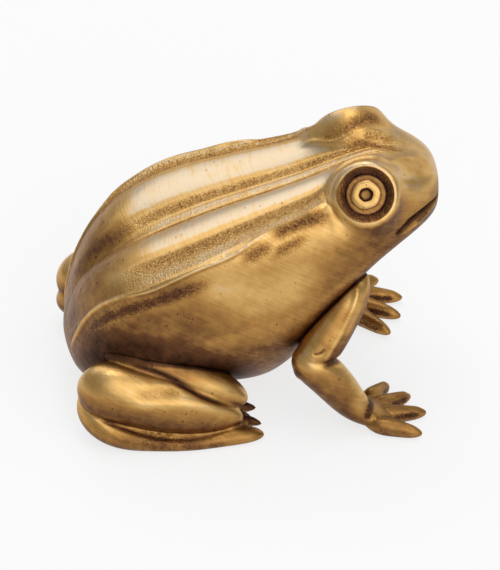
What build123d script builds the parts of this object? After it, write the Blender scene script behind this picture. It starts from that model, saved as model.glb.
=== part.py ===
from build123d import *
from collections import namedtuple
from math import sqrt
import os

# Brass frog ornament, sitting up on its hands and its folded hind legs
# Millimetres: the nose points to +X, +Z is up and the soles stand on Z = 0.
# A hollow cast body carries four cast legs, two set-in eyes and a screwed belly plate.
# Points on a leg are given as (x, out, z), where out is the distance from the middle plane.

RIGHT = -1
LEFT = 1

# Body casting: cross-sections from rump to snout
# spine, ridge_up, flank_up and belly are heights; ridge_out and flank_out are half widths.
# crown is how far the panel between spine and side ridge swells above its chord.
Station = namedtuple("Station", "x spine ridge_out ridge_up flank_out flank_up belly crown")
STATIONS = [
    Station(-66.0, 32.0, 9.0, 29.0, 11.5, 22.0, 15.5, 1.8),
    Station(-62.5, 42.5, 17.5, 38.5, 21.0, 25.0, 9.5, 3.0),
    Station(-55.0, 51.5, 26.5, 49.5, 30.0, 29.0, 6.0, 3.6),
    Station(-42.0, 60.0, 33.0, 60.8, 36.5, 34.0, 4.5, 2.8),
    Station(-28.0, 66.7, 35.0, 68.2, 38.5, 38.0, 4.0, 1.8),
    Station(-11.5, 73.0, 32.4, 74.3, 38.8, 41.0, 4.5, 1.3),
    Station(5.4, 78.3, 28.4, 79.8, 37.8, 45.0, 7.0, 1.0),
    Station(21.0, 83.5, 25.0, 85.0, 35.5, 52.5, 24.0, 0.8),
    Station(34.0, 88.5, 22.0, 89.6, 32.0, 61.0, 44.8, 0.8),
    Station(47.0, 92.0, 18.0, 92.0, 27.5, 69.0, 57.8, 0.8),
    Station(56.0, 91.5, 13.5, 90.5, 22.5, 73.0, 63.0, 0.8),
    Station(62.5, 89.0, 10.0, 87.5, 16.5, 75.5, 65.4, 0.6),
    Station(66.2, 85.5, 6.0, 84.5, 10.5, 77.0, 68.0, 0.4),
]
TAIL = (-67.5, 23.0)
NOSE = (67.5, 77.5)
VALLEY = 0.8
WIDEST_RIDGE = 35.0
ARC_PULL = 0.5523
WALL = 4.0
HEAD_WALL = 9.0
HEAD_BEGINS = 25.0
CAVITY_BACK = -58.0
CAVITY_FRONT = 40.0

# Eyes: a button set in a flaring socket on a raised mount, its axis pointing out and up
EYE_CENTRE = (38.6, 24.5, 89.6)
EYE_AXIS = (-0.11, 0.81, 0.57)
SOCKET_RIM = 9.9
GROOVE_RADIUS = 7.3
GROOVE_DEPTH = 3.0
BEZEL_WIDTH = 2.4
BEZEL_DROP = 0.9
BEZEL_ROUND = 0.4
EYE_MOUNT_RADIUS = 13.8
EYE_FACE_RADIUS = 5.4
EYE_FACE_DROP = 0.8
EYE_FLANGE = 1.6
EYE_SPIGOT_RADIUS = 2.4
EYE_SPIGOT_LENGTH = 3.5
PUPIL_RADIUS = 2.6
PUPIL_DEPTH = 1.2
EYE_FIT = 0.1

# Mouth: a groove of even depth round the snout, widest near its corners
MOUTH_CORNER = (50.0, 73.6)
MOUTH_WIDEST = (55.0, 75.2)
MOUTH_FRONT = 78.6
MOUTH_GAPE = 2.8
MOUTH_FRONT_GAPE = 1.2
MOUTH_DEPTH = 2.4

# Belly opening: an oval plate in a rebate, held by countersunk screws
PLATE_X = -24.0
PLATE_HALF_LENGTH = 22.0
PLATE_HALF_WIDTH = 13.0
PLATE_BOTTOM = 6.5
PLATE_THICK = 2.2
PLATE_FIT = 0.2
LEDGE = 6.0
PAD_RIM = 4.0
PAD_HEIGHT = 4.5
PLATE_SCREW_RADIUS = 1.5
PLATE_SCREW_HEAD = 3.0
PLATE_SCREW_LENGTH = 5.5
PLATE_SCREW_FIT = 0.1
PLATE_SCREW_SLOT = 0.7

# Leg fastening: a round tenon in a bored boss, drawn in by a hexagon screw and a washer
TENON_RADIUS = 4.5
TENON_FIT = 0.1
BOSS_RADIUS = 8.0
BOSS_FLOOR = 3.0
LEG_SCREW_RADIUS = 2.5
LEG_SCREW_REACH = 8.0
LEG_SCREW_FIT = 0.1
LEG_SCREW_HEAD = 4.0
LEG_SCREW_HEAD_HEIGHT = 3.5
WASHER_RADIUS = 5.5
WASHER_THICK = 1.0
JOINT_GAP = 0.3
FRONT_ROOT = (28.0, 31.4, 42.2)
FRONT_INWARD = (-0.69, -0.52, 0.51)
FRONT_TENON = 10.0
HIND_ROOT = (-34.0, 37.0, 14.5)
HIND_INWARD = (0.0, -0.77, 0.64)
HIND_TENON = 13.0

# Legs: lofts through oval waists (x, out, z, half width, half height) between two end points
SHOULDER_TIP = (38.2, 24.5, 56.5)
UPPER_ARM = [
    (34.6, 28.2, 50.4, 5.2, 5.2),
    (28.0, 32.3, 41.8, 7.0, 7.0),
    (21.2, 36.0, 33.0, 7.4, 7.4),
    (16.0, 38.4, 27.0, 5.9, 5.9),
]
ELBOW_TIP = (12.4, 39.6, 22.4)
FOREARM_TIP = (12.6, 37.8, 33.5)
FOREARM = [
    (15.0, 38.0, 30.2, 5.8, 5.8),
    (20.5, 38.8, 24.6, 7.3, 7.3),
    (27.2, 39.5, 16.5, 6.9, 6.9),
    (33.0, 39.5, 8.8, 6.4, 5.6),
]
HANDS = {
    RIGHT: [(39.2, 38.4, 4.2, 8.4, 3.8), (43.4, 37.4, 2.6, 8.2, 2.9)],
    LEFT: [(38.8, 35.8, 4.2, 8.2, 3.8), (43.0, 34.6, 2.6, 8.0, 2.9)],
}
PALM_REACH = 3.5
PALM_TIP_HEIGHT = 1.8
FINGER_RADIUS = 2.8
FINGER_TIP_HEIGHT = 1.8
FINGER_ROOTS = [(0.3, 3.6), (0.6, 0.8), (0.2, -2.8), (-1.8, -6.8)]
FINGERTIPS = {
    RIGHT: [(56.2, 50.6), (59.4, 37.6), (55.0, 26.6), (47.8, 19.0)],
    LEFT: [(53.2, 46.8), (60.4, 34.6), (58.2, 22.8), (53.0, 12.6)],
}
KNEE_BACK = (-56.0, 28.0, 31.5)
THIGH = [
    (-47.0, 31.0, 30.0, 5.4, 5.4),
    (-34.0, 33.5, 25.2, 7.4, 7.4),
    (-21.0, 35.2, 19.6, 7.6, 7.6),
    (-11.5, 36.2, 15.2, 5.6, 5.6),
]
KNEE_FRONT = (-5.5, 36.6, 12.2)
HEEL_BACK = (-66.0, 32.5, 22.4)
SHANK = [
    (-61.0, 34.0, 21.2, 8.0, 9.2),
    (-48.0, 36.6, 18.4, 10.4, 11.6),
    (-35.0, 38.2, 15.2, 10.4, 11.4),
    (-21.0, 39.4, 11.0, 8.4, 9.0),
    (-12.5, 40.0, 8.0, 5.0, 5.4),
]
SHANK_FRONT = (-7.5, 40.2, 6.4)
FOOT_BACK = (-63.0, 31.0, 19.0)
FOOT = [
    (-62.0, 34.6, 12.0, 4.8, 5.0),
    (-55.0, 39.4, 6.2, 6.6, 5.6),
    (-42.0, 42.2, 3.0, 6.4, 4.2),
    (-28.0, 43.2, 2.4, 6.7, 3.6),
    (-14.0, 37.0, 2.4, 11.5, 3.3),
    (-7.0, 41.8, 2.2, 5.2, 2.8),
]
FOOT_FRONT = (-0.2, 43.4, 1.5)
TOE_RADIUS = 2.7
TOE_TIP_HEIGHT = 1.6
TOE_ROOTS = [(-14.0, 31.5, 3.0), (-14.0, 25.5, 2.8)]
TOETIPS = [(-0.4, 37.0), (-1.2, 27.0)]
FINGER_SWELL = ((0.35, 0.85), (0.6, 0.95), (0.85, 0.8))
TOE_SWELL = ((0.3, 1.0), (0.6, 0.85), (0.85, 0.5))
REACH = 200.0


def side_point(side, place):
    """Turn (x, out, z) into a point on the right or left of the middle plane."""
    return Vector(place[0], side * place[1], place[2])


def section(station, grow):
    """Closed cross-section, moved outwards by grow: two back panels, two shoulders, two belly quarters."""
    spine = station.spine + grow
    ridge_out = station.ridge_out + grow
    ridge_up = station.ridge_up + grow
    flank_out = station.flank_out + grow
    flank_up = station.flank_up
    belly = station.belly - grow
    valley = VALLEY * station.ridge_out / WIDEST_RIDGE
    chord = Vector(0, ridge_out, ridge_up - spine)
    normal = Vector(0, -chord.Z, chord.Y) / chord.length

    def place(side, out, up):
        return Vector(station.x, side * out, up)

    def panel(side):
        points = [place(side, 0, spine)]
        for along, dip in ((0.13, valley), (0.5, 0.0), (0.87, valley)):
            rise = 4 * station.crown * along * (1 - along) - dip
            spot = chord * along + normal * rise
            points.append(place(side, spot.Y, spine + spot.Z))
        return points + [place(side, ridge_out, ridge_up)]

    def shoulder(side):
        return [
            place(side, ridge_out, ridge_up),
            place(side, ridge_out + ARC_PULL * (flank_out - ridge_out), ridge_up),
            place(side, flank_out, flank_up + ARC_PULL * (ridge_up - flank_up)),
            place(side, flank_out, flank_up),
        ]

    def underside(side):
        return [
            place(side, flank_out, flank_up),
            place(side, flank_out, flank_up - ARC_PULL * (flank_up - belly)),
            place(side, ARC_PULL * flank_out, belly),
            place(side, 0, belly),
        ]

    right = [Spline(*panel(RIGHT)), Bezier(*shoulder(RIGHT)), Bezier(*underside(RIGHT))]
    left = [Bezier(*underside(LEFT)[::-1]), Bezier(*shoulder(LEFT)[::-1]), Spline(*panel(LEFT)[::-1])]
    return Wire(right + left)


def body_form(grow):
    """The whole head and trunk as one smooth solid, moved outwards by grow; a smaller one drops its end sections."""
    back = TAIL[0] - grow
    front = NOSE[0] + grow
    held = [section(station, grow) for station in STATIONS if back < station.x < front]
    return Solid.make_loft([Vertex(back, 0, TAIL[1])] + held + [Vertex(front, 0, NOSE[1])])


def cavity_form():
    """The hollow of the casting, with more metal left behind the eyes."""
    held = [station for station in STATIONS if CAVITY_BACK < station.x < CAVITY_FRONT]
    walls = [HEAD_WALL if station.x > HEAD_BEGINS else WALL for station in held]
    return Solid.make_loft([section(station, -wall) for station, wall in zip(held, walls)])


def limb(root, waists, tip):
    """Left-hand loft from a root point through oval waists, square to the limb's run, to a tip point."""
    centres = [Vector(*waist[:3]) for waist in waists]
    path = [Vector(*root)] + centres + [Vector(*tip)]
    ovals = []
    for index, waist in enumerate(waists):
        run = path[index + 2] - path[index]
        across = Vector(0, 0, 1).cross(run)
        plane = Plane(origin=centres[index], x_dir=across, z_dir=run)
        upper = Edge.make_ellipse(waist[3], waist[4], plane, 0, 180)
        lower = Edge.make_ellipse(waist[3], waist[4], plane, 180, 360)
        ovals.append(Wire([upper, lower]))
    return Solid.make_loft([Vertex(*path[0])] + ovals + [Vertex(*path[-1])])


def digit(root, tip, radius, swells):
    """A finger or toe: a thin spindle, with its waists as shares of its length and radius."""
    start = Vector(*root)
    run = Vector(*tip) - start
    waists = []
    for along, swell in swells:
        centre = start + run * along
        waists.append((centre.X, centre.Y, centre.Z, swell * radius, swell * radius))
    return limb(root, waists, tip)


def turned(frame, outline):
    """Revolve a closed outline of (radius, height) points about the frame's own axis."""
    face = make_face(Polyline(*[(radius, 0, height) for radius, height in outline], close=True))
    return frame * revolve(face, Axis.Z)


def round_bar(frame, radius, bottom, top):
    """A round bar along the frame's axis, from height bottom to height top."""
    return turned(frame, [(0, bottom), (radius, bottom), (radius, top), (0, top)])


def eye_frame(side):
    return Plane(origin=side_point(side, EYE_CENTRE), z_dir=side_point(side, EYE_AXIS))


def eye_mount(side):
    """The ball that carries the socket, rounded over at its bezel."""
    bezel = SOCKET_RIM + BEZEL_WIDTH
    middle = -BEZEL_DROP - sqrt(EYE_MOUNT_RADIUS**2 - bezel**2)
    bottom = middle - EYE_MOUNT_RADIUS
    ball = ThreePointArc((0, 0, bottom), (EYE_MOUNT_RADIUS, 0, middle), (bezel, 0, -BEZEL_DROP))
    slope = sqrt(BEZEL_WIDTH**2 + BEZEL_DROP**2)
    crest_out = SOCKET_RIM + BEZEL_WIDTH / 2 + BEZEL_ROUND * BEZEL_DROP / slope
    crest_up = -BEZEL_DROP / 2 + BEZEL_ROUND * BEZEL_WIDTH / slope
    lip = ThreePointArc((bezel, 0, -BEZEL_DROP), (crest_out, 0, crest_up), (SOCKET_RIM, 0, 0))
    sides = Polyline((SOCKET_RIM, 0, 0), (0, 0, 0), (0, 0, bottom))
    return eye_frame(side) * revolve(make_face(ball + lip + sides), Axis.Z)


def eye_socket(side):
    """The flaring socket, the seat for the eye's flange and the hole for its spigot."""
    seat = GROOVE_DEPTH + EYE_FLANGE
    hole = EYE_SPIGOT_RADIUS + EYE_FIT
    bottom = seat + EYE_SPIGOT_LENGTH + EYE_FIT
    outline = [
        (0, EYE_MOUNT_RADIUS),
        (SOCKET_RIM, EYE_MOUNT_RADIUS),
        (SOCKET_RIM, 0),
        (GROOVE_RADIUS, -GROOVE_DEPTH),
        (GROOVE_RADIUS, -seat),
        (hole, -seat),
        (hole, -bottom),
        (0, -bottom),
    ]
    return turned(eye_frame(side), outline)


def eye(side):
    """Eye button: flange, sloping ring, flat face with a pupil hole, and a spigot behind."""
    flange = GROOVE_RADIUS - EYE_FIT
    seat = GROOVE_DEPTH + EYE_FLANGE
    pupil_bottom = EYE_FACE_DROP + PUPIL_DEPTH
    outline = [
        (0, -pupil_bottom),
        (PUPIL_RADIUS, -pupil_bottom),
        (PUPIL_RADIUS, -EYE_FACE_DROP),
        (EYE_FACE_RADIUS, -EYE_FACE_DROP),
        (flange, -GROOVE_DEPTH),
        (flange, -seat),
        (EYE_SPIGOT_RADIUS, -seat),
        (EYE_SPIGOT_RADIUS, -seat - EYE_SPIGOT_LENGTH),
        (0, -seat - EYE_SPIGOT_LENGTH),
    ]
    return turned(eye_frame(side), outline)


def mouth_groove():
    """A tapering wedge right across the snout, less the core that the groove leaves standing."""
    front = NOSE[0] + MOUTH_DEPTH
    outline = Polyline(
        (MOUTH_CORNER[0], 0, MOUTH_CORNER[1]),
        (MOUTH_WIDEST[0], 0, MOUTH_WIDEST[1] + MOUTH_GAPE / 2),
        (front, 0, MOUTH_FRONT + MOUTH_FRONT_GAPE / 2),
        (front, 0, MOUTH_FRONT - MOUTH_FRONT_GAPE / 2),
        (MOUTH_WIDEST[0], 0, MOUTH_WIDEST[1] - MOUTH_GAPE / 2),
        close=True,
    )
    wedge = extrude(make_face(outline), REACH / 2, dir=(0, 1, 0), both=True)
    return wedge - body_form(-MOUTH_DEPTH)


def oval_block(half_length, half_width, bottom, top):
    """An upright oval block centred on the belly plate."""
    oval = Pos(PLATE_X, 0, bottom) * Ellipse(half_length, half_width)
    return extrude(oval, top - bottom)


def plate_screw_frames():
    """One upright frame per belly screw: two at the plate's ends and two at its sides."""
    along = PLATE_HALF_LENGTH - LEDGE / 2
    across = PLATE_HALF_WIDTH - LEDGE / 2
    spots = [(along, 0), (-along, 0), (0, across), (0, -across)]
    return [Plane(origin=(PLATE_X + x, y, PLATE_BOTTOM)) for x, y in spots]


def countersink(frame, radius, head, length):
    """A screw shape pointing up from the plate's underside: cone head, then shank."""
    return turned(frame, [(0, 0), (head, 0), (radius, head - radius), (radius, length), (0, length)])


def belly_plate():
    plate = oval_block(PLATE_HALF_LENGTH, PLATE_HALF_WIDTH, PLATE_BOTTOM, PLATE_BOTTOM + PLATE_THICK)
    fit = PLATE_SCREW_FIT
    for frame in plate_screw_frames():
        plate -= countersink(frame, PLATE_SCREW_RADIUS + fit, PLATE_SCREW_HEAD + fit, PLATE_SCREW_LENGTH)
    return plate


def belly_plate_screws():
    """Slotted countersunk screws, flush with the plate's underside."""
    slot = Box(3 * PLATE_SCREW_HEAD, PLATE_SCREW_SLOT, 2 * PLATE_SCREW_SLOT)
    screws = []
    for frame in plate_screw_frames():
        screw = countersink(frame, PLATE_SCREW_RADIUS, PLATE_SCREW_HEAD, PLATE_SCREW_LENGTH)
        screws.append(screw - frame * slot)
    return screws


LEG_ENDS = {
    "front": (FRONT_ROOT, FRONT_INWARD, FRONT_TENON),
    "hind": (HIND_ROOT, HIND_INWARD, HIND_TENON),
}
LEG_PLACES = [(end, side) for end in LEG_ENDS for side in (RIGHT, LEFT)]


def leg_frame(end, side):
    """The fastening's own frame: it starts inside the leg and its axis runs into the body."""
    root, inward, tenon = LEG_ENDS[end]
    return Plane(origin=side_point(side, root), z_dir=side_point(side, inward))


def boss_top(end):
    return LEG_ENDS[end][2] + BOSS_FLOOR


def leg_boss(end, side):
    return round_bar(leg_frame(end, side), BOSS_RADIUS, 0, boss_top(end))


def leg_bore(end, side):
    """Tenon socket, and the screw's clearance hole through the boss floor."""
    frame = leg_frame(end, side)
    tenon = LEG_ENDS[end][2]
    socket = round_bar(frame, TENON_RADIUS + TENON_FIT, -TENON_RADIUS, tenon + TENON_FIT)
    hole = round_bar(frame, LEG_SCREW_RADIUS + LEG_SCREW_FIT, 0, boss_top(end) + BOSS_FLOOR)
    return socket + hole


def leg_tenon(end, side):
    return round_bar(leg_frame(end, side), TENON_RADIUS, 0, LEG_ENDS[end][2])


def leg_screw_hole(end, side):
    tenon = LEG_ENDS[end][2]
    bottom = tenon - LEG_SCREW_REACH - LEG_SCREW_RADIUS
    return round_bar(leg_frame(end, side), LEG_SCREW_RADIUS + LEG_SCREW_FIT, bottom, tenon + TENON_FIT)


def leg_washer(end, side):
    frame = leg_frame(end, side)
    seat = boss_top(end)
    inner = LEG_SCREW_RADIUS + LEG_SCREW_FIT
    return turned(frame, [(inner, seat), (WASHER_RADIUS, seat), (WASHER_RADIUS, seat + WASHER_THICK),
                          (inner, seat + WASHER_THICK)])


def leg_screw(end, side):
    frame = leg_frame(end, side)
    seat = boss_top(end) + WASHER_THICK
    shank = round_bar(frame, LEG_SCREW_RADIUS, LEG_ENDS[end][2] - LEG_SCREW_REACH, seat)
    head = extrude(Pos(0, 0, seat) * RegularPolygon(LEG_SCREW_HEAD, 6, major_radius=False),
                   LEG_SCREW_HEAD_HEIGHT)
    return shank + frame * head


def front_leg_form(side):
    """Upper arm and forearm lofts meeting at the elbow, a palm and four spread fingers."""
    wrist, palm = HANDS[side]
    palm_tip = (palm[0] + PALM_REACH, palm[1], PALM_TIP_HEIGHT)
    form = limb(SHOULDER_TIP, UPPER_ARM, ELBOW_TIP) + limb(FOREARM_TIP, FOREARM + HANDS[side], palm_tip)
    for (ahead, beside), (x, out) in zip(FINGER_ROOTS, FINGERTIPS[side]):
        root = (wrist[0] + ahead, wrist[1] + beside, wrist[2])
        form += digit(root, (x, out, FINGER_TIP_HEIGHT), FINGER_RADIUS, FINGER_SWELL)
    return form


def hind_leg_form(side):
    """Thigh, shank and foot lofts folded together, and two toes beside the one that ends the foot."""
    form = limb(KNEE_BACK, THIGH, KNEE_FRONT) + limb(HEEL_BACK, SHANK, SHANK_FRONT)
    form += limb(FOOT_BACK, FOOT, FOOT_FRONT)
    for root, (x, out) in zip(TOE_ROOTS, TOETIPS):
        form += digit(root, (x, out, TOE_TIP_HEIGHT), TOE_RADIUS, TOE_SWELL)
    return form


LEG_FORMS = {"front": front_leg_form, "hind": hind_leg_form}


def leg(end, side, neighbour):
    """A leg form trimmed to the body beside it and to the ground, with its tenon and screw hole."""
    ground = Pos(0, 0, -REACH / 2) * Box(REACH, REACH, REACH)
    form = LEG_FORMS[end](side)
    if side == RIGHT:
        form = mirror(form, about=Plane.XZ)
    trimmed = form - neighbour - ground
    return trimmed + leg_tenon(end, side) - leg_screw_hole(end, side)


def body_shell():
    """Hollow casting with eye mounts, mouth, leg bosses and the rebated belly opening."""
    skin = body_form(0)
    plate_top = PLATE_BOTTOM + PLATE_THICK
    pad = oval_block(PLATE_HALF_LENGTH + PAD_RIM, PLATE_HALF_WIDTH + PAD_RIM, 0, plate_top + PAD_HEIGHT)
    lining = pad
    for end, side in LEG_PLACES:
        lining += leg_boss(end, side)
    shell = skin + eye_mount(RIGHT) + eye_mount(LEFT) - cavity_form() + (lining & skin)
    shell -= eye_socket(RIGHT) + eye_socket(LEFT)
    shell -= mouth_groove()
    shell -= oval_block(PLATE_HALF_LENGTH + PLATE_FIT, PLATE_HALF_WIDTH + PLATE_FIT, 0, plate_top)
    shell -= oval_block(PLATE_HALF_LENGTH - LEDGE, PLATE_HALF_WIDTH - LEDGE, 0, plate_top + PAD_HEIGHT)
    screw_hole = PLATE_SCREW_RADIUS + PLATE_SCREW_FIT
    for frame in plate_screw_frames():
        shell -= round_bar(frame, screw_hole, 0, PLATE_SCREW_LENGTH + PLATE_SCREW_FIT)
    for end, side in LEG_PLACES:
        shell -= leg_bore(end, side)
    return shell


neighbour = body_form(JOINT_GAP)
pieces = {
    "body_shell": body_shell(),
    "belly_plate": belly_plate(),
    "belly_plate_screws": Compound(belly_plate_screws()),
    "eye_right": eye(RIGHT),
    "eye_left": eye(LEFT),
    "front_leg_right": leg("front", RIGHT, neighbour),
    "front_leg_left": leg("front", LEFT, neighbour),
    "hind_leg_right": leg("hind", RIGHT, neighbour),
    "hind_leg_left": leg("hind", LEFT, neighbour),
    "leg_screws": Compound([leg_screw(end, side) for end, side in LEG_PLACES]),
    "leg_washers": Compound([leg_washer(end, side) for end, side in LEG_PLACES]),
}
os.makedirs("parts", exist_ok=True)
for name, piece in pieces.items():
    export_step(piece, f"parts/{name}.step")
    print(name, round(piece.volume), len(piece.solids()), piece.is_valid)
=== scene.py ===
# %% [markdown]
# # A cast brass frog
# The ornament is a sitting frog of antique brass: a hollow cast body, two eye buttons, two arms and two
# folded hind legs. Its charm is in the finish. High places are rubbed to a satin gold, and every hollow
# keeps the dark, grainy skin of the sand mould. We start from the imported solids, which stay where they are,
# and build a finer surface over each casting.

# %% Load the fixed frame
from collections import namedtuple
from math import cos, radians, sin, sqrt
import bmesh
import bpy
import numpy as np
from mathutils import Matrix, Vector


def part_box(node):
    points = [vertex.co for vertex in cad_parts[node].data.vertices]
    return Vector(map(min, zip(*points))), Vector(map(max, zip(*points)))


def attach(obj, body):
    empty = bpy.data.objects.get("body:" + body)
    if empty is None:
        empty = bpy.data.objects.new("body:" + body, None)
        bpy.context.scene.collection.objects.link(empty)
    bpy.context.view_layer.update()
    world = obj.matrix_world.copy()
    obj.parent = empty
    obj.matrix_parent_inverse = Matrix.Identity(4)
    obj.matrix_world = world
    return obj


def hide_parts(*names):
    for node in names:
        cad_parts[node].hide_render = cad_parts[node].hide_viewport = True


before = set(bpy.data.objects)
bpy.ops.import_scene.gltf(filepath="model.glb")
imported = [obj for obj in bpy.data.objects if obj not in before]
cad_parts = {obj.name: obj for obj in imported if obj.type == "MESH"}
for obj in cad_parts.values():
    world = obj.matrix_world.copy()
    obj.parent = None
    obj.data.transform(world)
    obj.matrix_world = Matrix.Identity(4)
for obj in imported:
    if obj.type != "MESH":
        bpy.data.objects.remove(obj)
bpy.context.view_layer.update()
MM = 0.001
RIGHT, LEFT = -1, 1
SIDES = {RIGHT: "right", LEFT: "left"}
print("nodes in the frame:", len(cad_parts))

# %% [markdown]
# ## Smooth curves and closed surfaces
# Every casting here is a surface with two parameters: one runs along the piece and one round it. A few
# sizes are known at a few places, and a cubic spline fills in the rest. Blender could subdivide a coarse
# cage instead, but a formula keeps the ridges exactly where they are wanted.

# %% A cubic spline through whole columns of values
def smooth_through(knots, values, at, level_ends=False):
    """Cubic spline. On each span the value is a*v0 + b*v1 + ((a^3-a)*m0 + (b^3-b)*m1) * span^2/6, where a
    and b are the shares of the span to either side and the bends m solve one band of equations. level_ends
    makes the slope zero at both ends instead of the bend."""
    gap = np.diff(knots)
    count = len(knots)
    slope = np.diff(values, axis=0) / gap[:, None]
    system = np.eye(count)
    known = np.zeros_like(values)
    inner = np.arange(1, count - 1)
    system[inner, inner - 1] = gap[:-1]
    system[inner, inner] = 2 * (gap[:-1] + gap[1:])
    system[inner, inner + 1] = gap[1:]
    known[1:-1] = 6 * np.diff(slope, axis=0)
    if level_ends:
        system[0, :2] = 2 * gap[0], gap[0]
        system[-1, -2:] = gap[-1], 2 * gap[-1]
        known[0], known[-1] = 6 * slope[0], -6 * slope[-1]
    bend = np.linalg.solve(system, known)
    span = np.clip(np.searchsorted(knots, at) - 1, 0, count - 2)
    length = gap[span][:, None]
    a = (knots[span + 1] - at)[:, None] / length
    b = 1 - a
    sag = ((a**3 - a) * bend[span] + (b**3 - b) * bend[span + 1]) * length**2 / 6
    return a * values[span] + b * values[span + 1] + sag


# %% Distances, directions and soft steps
def distances(points):
    """Length of the way along a line of points, from the first point to each."""
    return np.concatenate([[0], np.cumsum(np.linalg.norm(np.diff(points, axis=0), axis=1))])


def unit(vectors):
    return vectors / np.maximum(np.linalg.norm(vectors, axis=-1, keepdims=True), 1e-9)


def circle(count):
    """Cosine and sine at even steps round a circle."""
    angle = np.linspace(0, 2 * np.pi, count, endpoint=False)
    return np.cos(angle), np.sin(angle)


def ease(low, high, value):
    """Smooth step: 0 below low, 1 above high, and 3t^2 - 2t^3 between."""
    t = np.clip((value - low) / (high - low), 0, 1)
    return t * t * (3 - 2 * t)


def between(value, start, full, fade, end):
    """Ease up from start to full, and down again from fade to end."""
    return ease(start, full, value) * (1 - ease(fade, end, value))


print("a quarter of the way, a soft step has climbed", round(float(ease(0, 1, 0.25)), 3))

# %% Values on the vertices of a mesh
def set_layer(mesh, name, values):
    layer = mesh.attributes.get(name) or mesh.attributes.new(name, "FLOAT", "POINT")
    layer.data.foreach_set("value", np.asarray(values, np.float32))


def get_layer(mesh, name):
    values = np.empty(len(mesh.vertices), np.float32)
    mesh.attributes[name].data.foreach_get("value", values)
    return values.astype(float)


def vertex_array(mesh, field="co"):
    values = np.empty(len(mesh.vertices) * 3, np.float32)
    mesh.vertices.foreach_get(field, values)
    return values.reshape(-1, 3).astype(float)


# %% A closed mesh from rings and two poles
def closed_tube(name, rings, first, last, **layers):
    """Join rings (rows, around, 3) by quads and close both ends by a fan to a pole point. Millimetres
    become metres, and the faces are turned over if the volume, a sum of p0 . (p1 x p2) / 6, comes out
    negative. Each layer is a value per vertex of the grid, kept as an attribute; a pole takes the mean of
    its ring."""
    rows, around = rings.shape[:2]
    points = np.concatenate([rings.reshape(-1, 3), [first, last]])
    ring = np.arange(around)
    after = np.roll(ring, -1)
    start = np.arange(rows - 1)[:, None] * around
    square = [start + ring, start + after, start + around + after, start + around + ring]
    quads = np.stack(square, -1).reshape(-1, 4)
    end = (rows - 1) * around
    pole = np.full(around, rows * around)
    triangles = [(after, ring, pole), (end + ring, end + after, pole + 1)]
    fans = np.concatenate([np.stack(corners, -1) for corners in triangles])
    corner = points[np.concatenate([quads[:, :3], quads[:, [0, 2, 3]], fans])]
    volume = np.einsum("ij,ij->i", corner[:, 0], np.cross(corner[:, 1], corner[:, 2])).sum() / 6
    if volume < 0:
        quads, fans = quads[:, ::-1], fans[:, ::-1]
    mesh = bpy.data.meshes.new(name)
    mesh.from_pydata(points * MM, [], quads.tolist() + fans.tolist())
    mesh.shade_smooth()
    for layer, values in layers.items():
        grid = np.broadcast_to(values, (rows, around))
        set_layer(mesh, layer, np.concatenate([grid.ravel(), grid[[0, -1]].mean(1)]))
    return mesh


# %% Pieces, and modifiers made permanent
def add_piece(name, data):
    piece = bpy.data.objects.new(name, data)
    bpy.context.scene.collection.objects.link(piece)
    return piece


def settle(piece):
    """Replace a piece's mesh by what its modifiers make of it."""
    made = bpy.data.meshes.new_from_object(piece.evaluated_get(bpy.context.evaluated_depsgraph_get()))
    piece.modifiers.clear()
    piece.data = made
    return piece


def cut(piece, *cutters):
    """Boolean difference, then the cutters go away."""
    for cutter in cutters:
        change = piece.modifiers.new("cut", "BOOLEAN")
        change.operation, change.solver, change.object = "DIFFERENCE", "EXACT", cutter
    settle(piece)
    for cutter in cutters:
        bpy.data.objects.remove(cutter)
    return piece


# %% [markdown]
# ## The body
# Head and trunk are one casting. Its cross-section is the same idea from rump to snout: two swelling panels
# on the back between three ridges, then a shoulder and a round belly. So the surface is a stack of
# sections, and each size of a section is a spline along the frog. All sizes in this script are millimetres
# until a mesh is made.

# %% Sizes of the body's sections, from rump to snout
Station = namedtuple("Station", "x spine ridge_out ridge_up flank_out flank_up belly crown")
STATIONS = [
    Station(-67.5, 23.0, 0.0, 23.0, 0.0, 23.0, 23.0, 0.0),
    Station(-66.0, 32.0, 9.0, 29.0, 11.5, 22.0, 15.5, 1.8),
    Station(-62.5, 42.5, 17.5, 38.5, 21.0, 25.0, 9.5, 3.0),
    Station(-55.0, 51.5, 26.5, 49.5, 30.0, 29.0, 6.0, 3.6),
    Station(-42.0, 60.0, 33.0, 60.8, 36.5, 34.0, 4.5, 2.8),
    Station(-28.0, 66.7, 35.0, 68.2, 38.5, 38.0, 4.0, 1.8),
    Station(-11.5, 73.0, 32.4, 74.3, 38.8, 41.0, 4.5, 1.3),
    Station(5.4, 78.3, 28.4, 79.8, 37.8, 45.0, 7.0, 1.0),
    Station(21.0, 83.5, 25.0, 85.0, 35.5, 52.5, 24.0, 0.8),
    Station(34.0, 88.5, 22.0, 89.6, 32.0, 61.0, 44.8, 0.8),
    Station(47.0, 92.0, 18.0, 92.0, 27.5, 69.0, 57.8, 0.8),
    Station(56.0, 91.5, 13.5, 90.5, 22.5, 73.0, 63.0, 0.8),
    Station(62.5, 89.0, 10.0, 87.5, 16.5, 75.5, 65.4, 0.6),
    Station(66.2, 85.5, 6.0, 84.5, 10.5, 77.0, 68.0, 0.4),
    Station(67.5, 77.5, 0.0, 77.5, 0.0, 77.5, 77.5, 0.0),
]
sizes = np.array(STATIONS)
outline = np.array([(station.x, station.spine, station.flank_out) for station in STATIONS])
station_at = distances(outline)


def sections_at(along):
    """All eight sizes at the given distances along the frog. x levels off at both ends, so the ends are
    round."""
    at = smooth_through(station_at, sizes, along)
    at[:, 0] = smooth_through(station_at, sizes[:, :1], along, level_ends=True)[:, 0]
    return Station(*at.T[:, :, None])


print("the body's sections run over", round(station_at[-1]), "mm")

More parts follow.
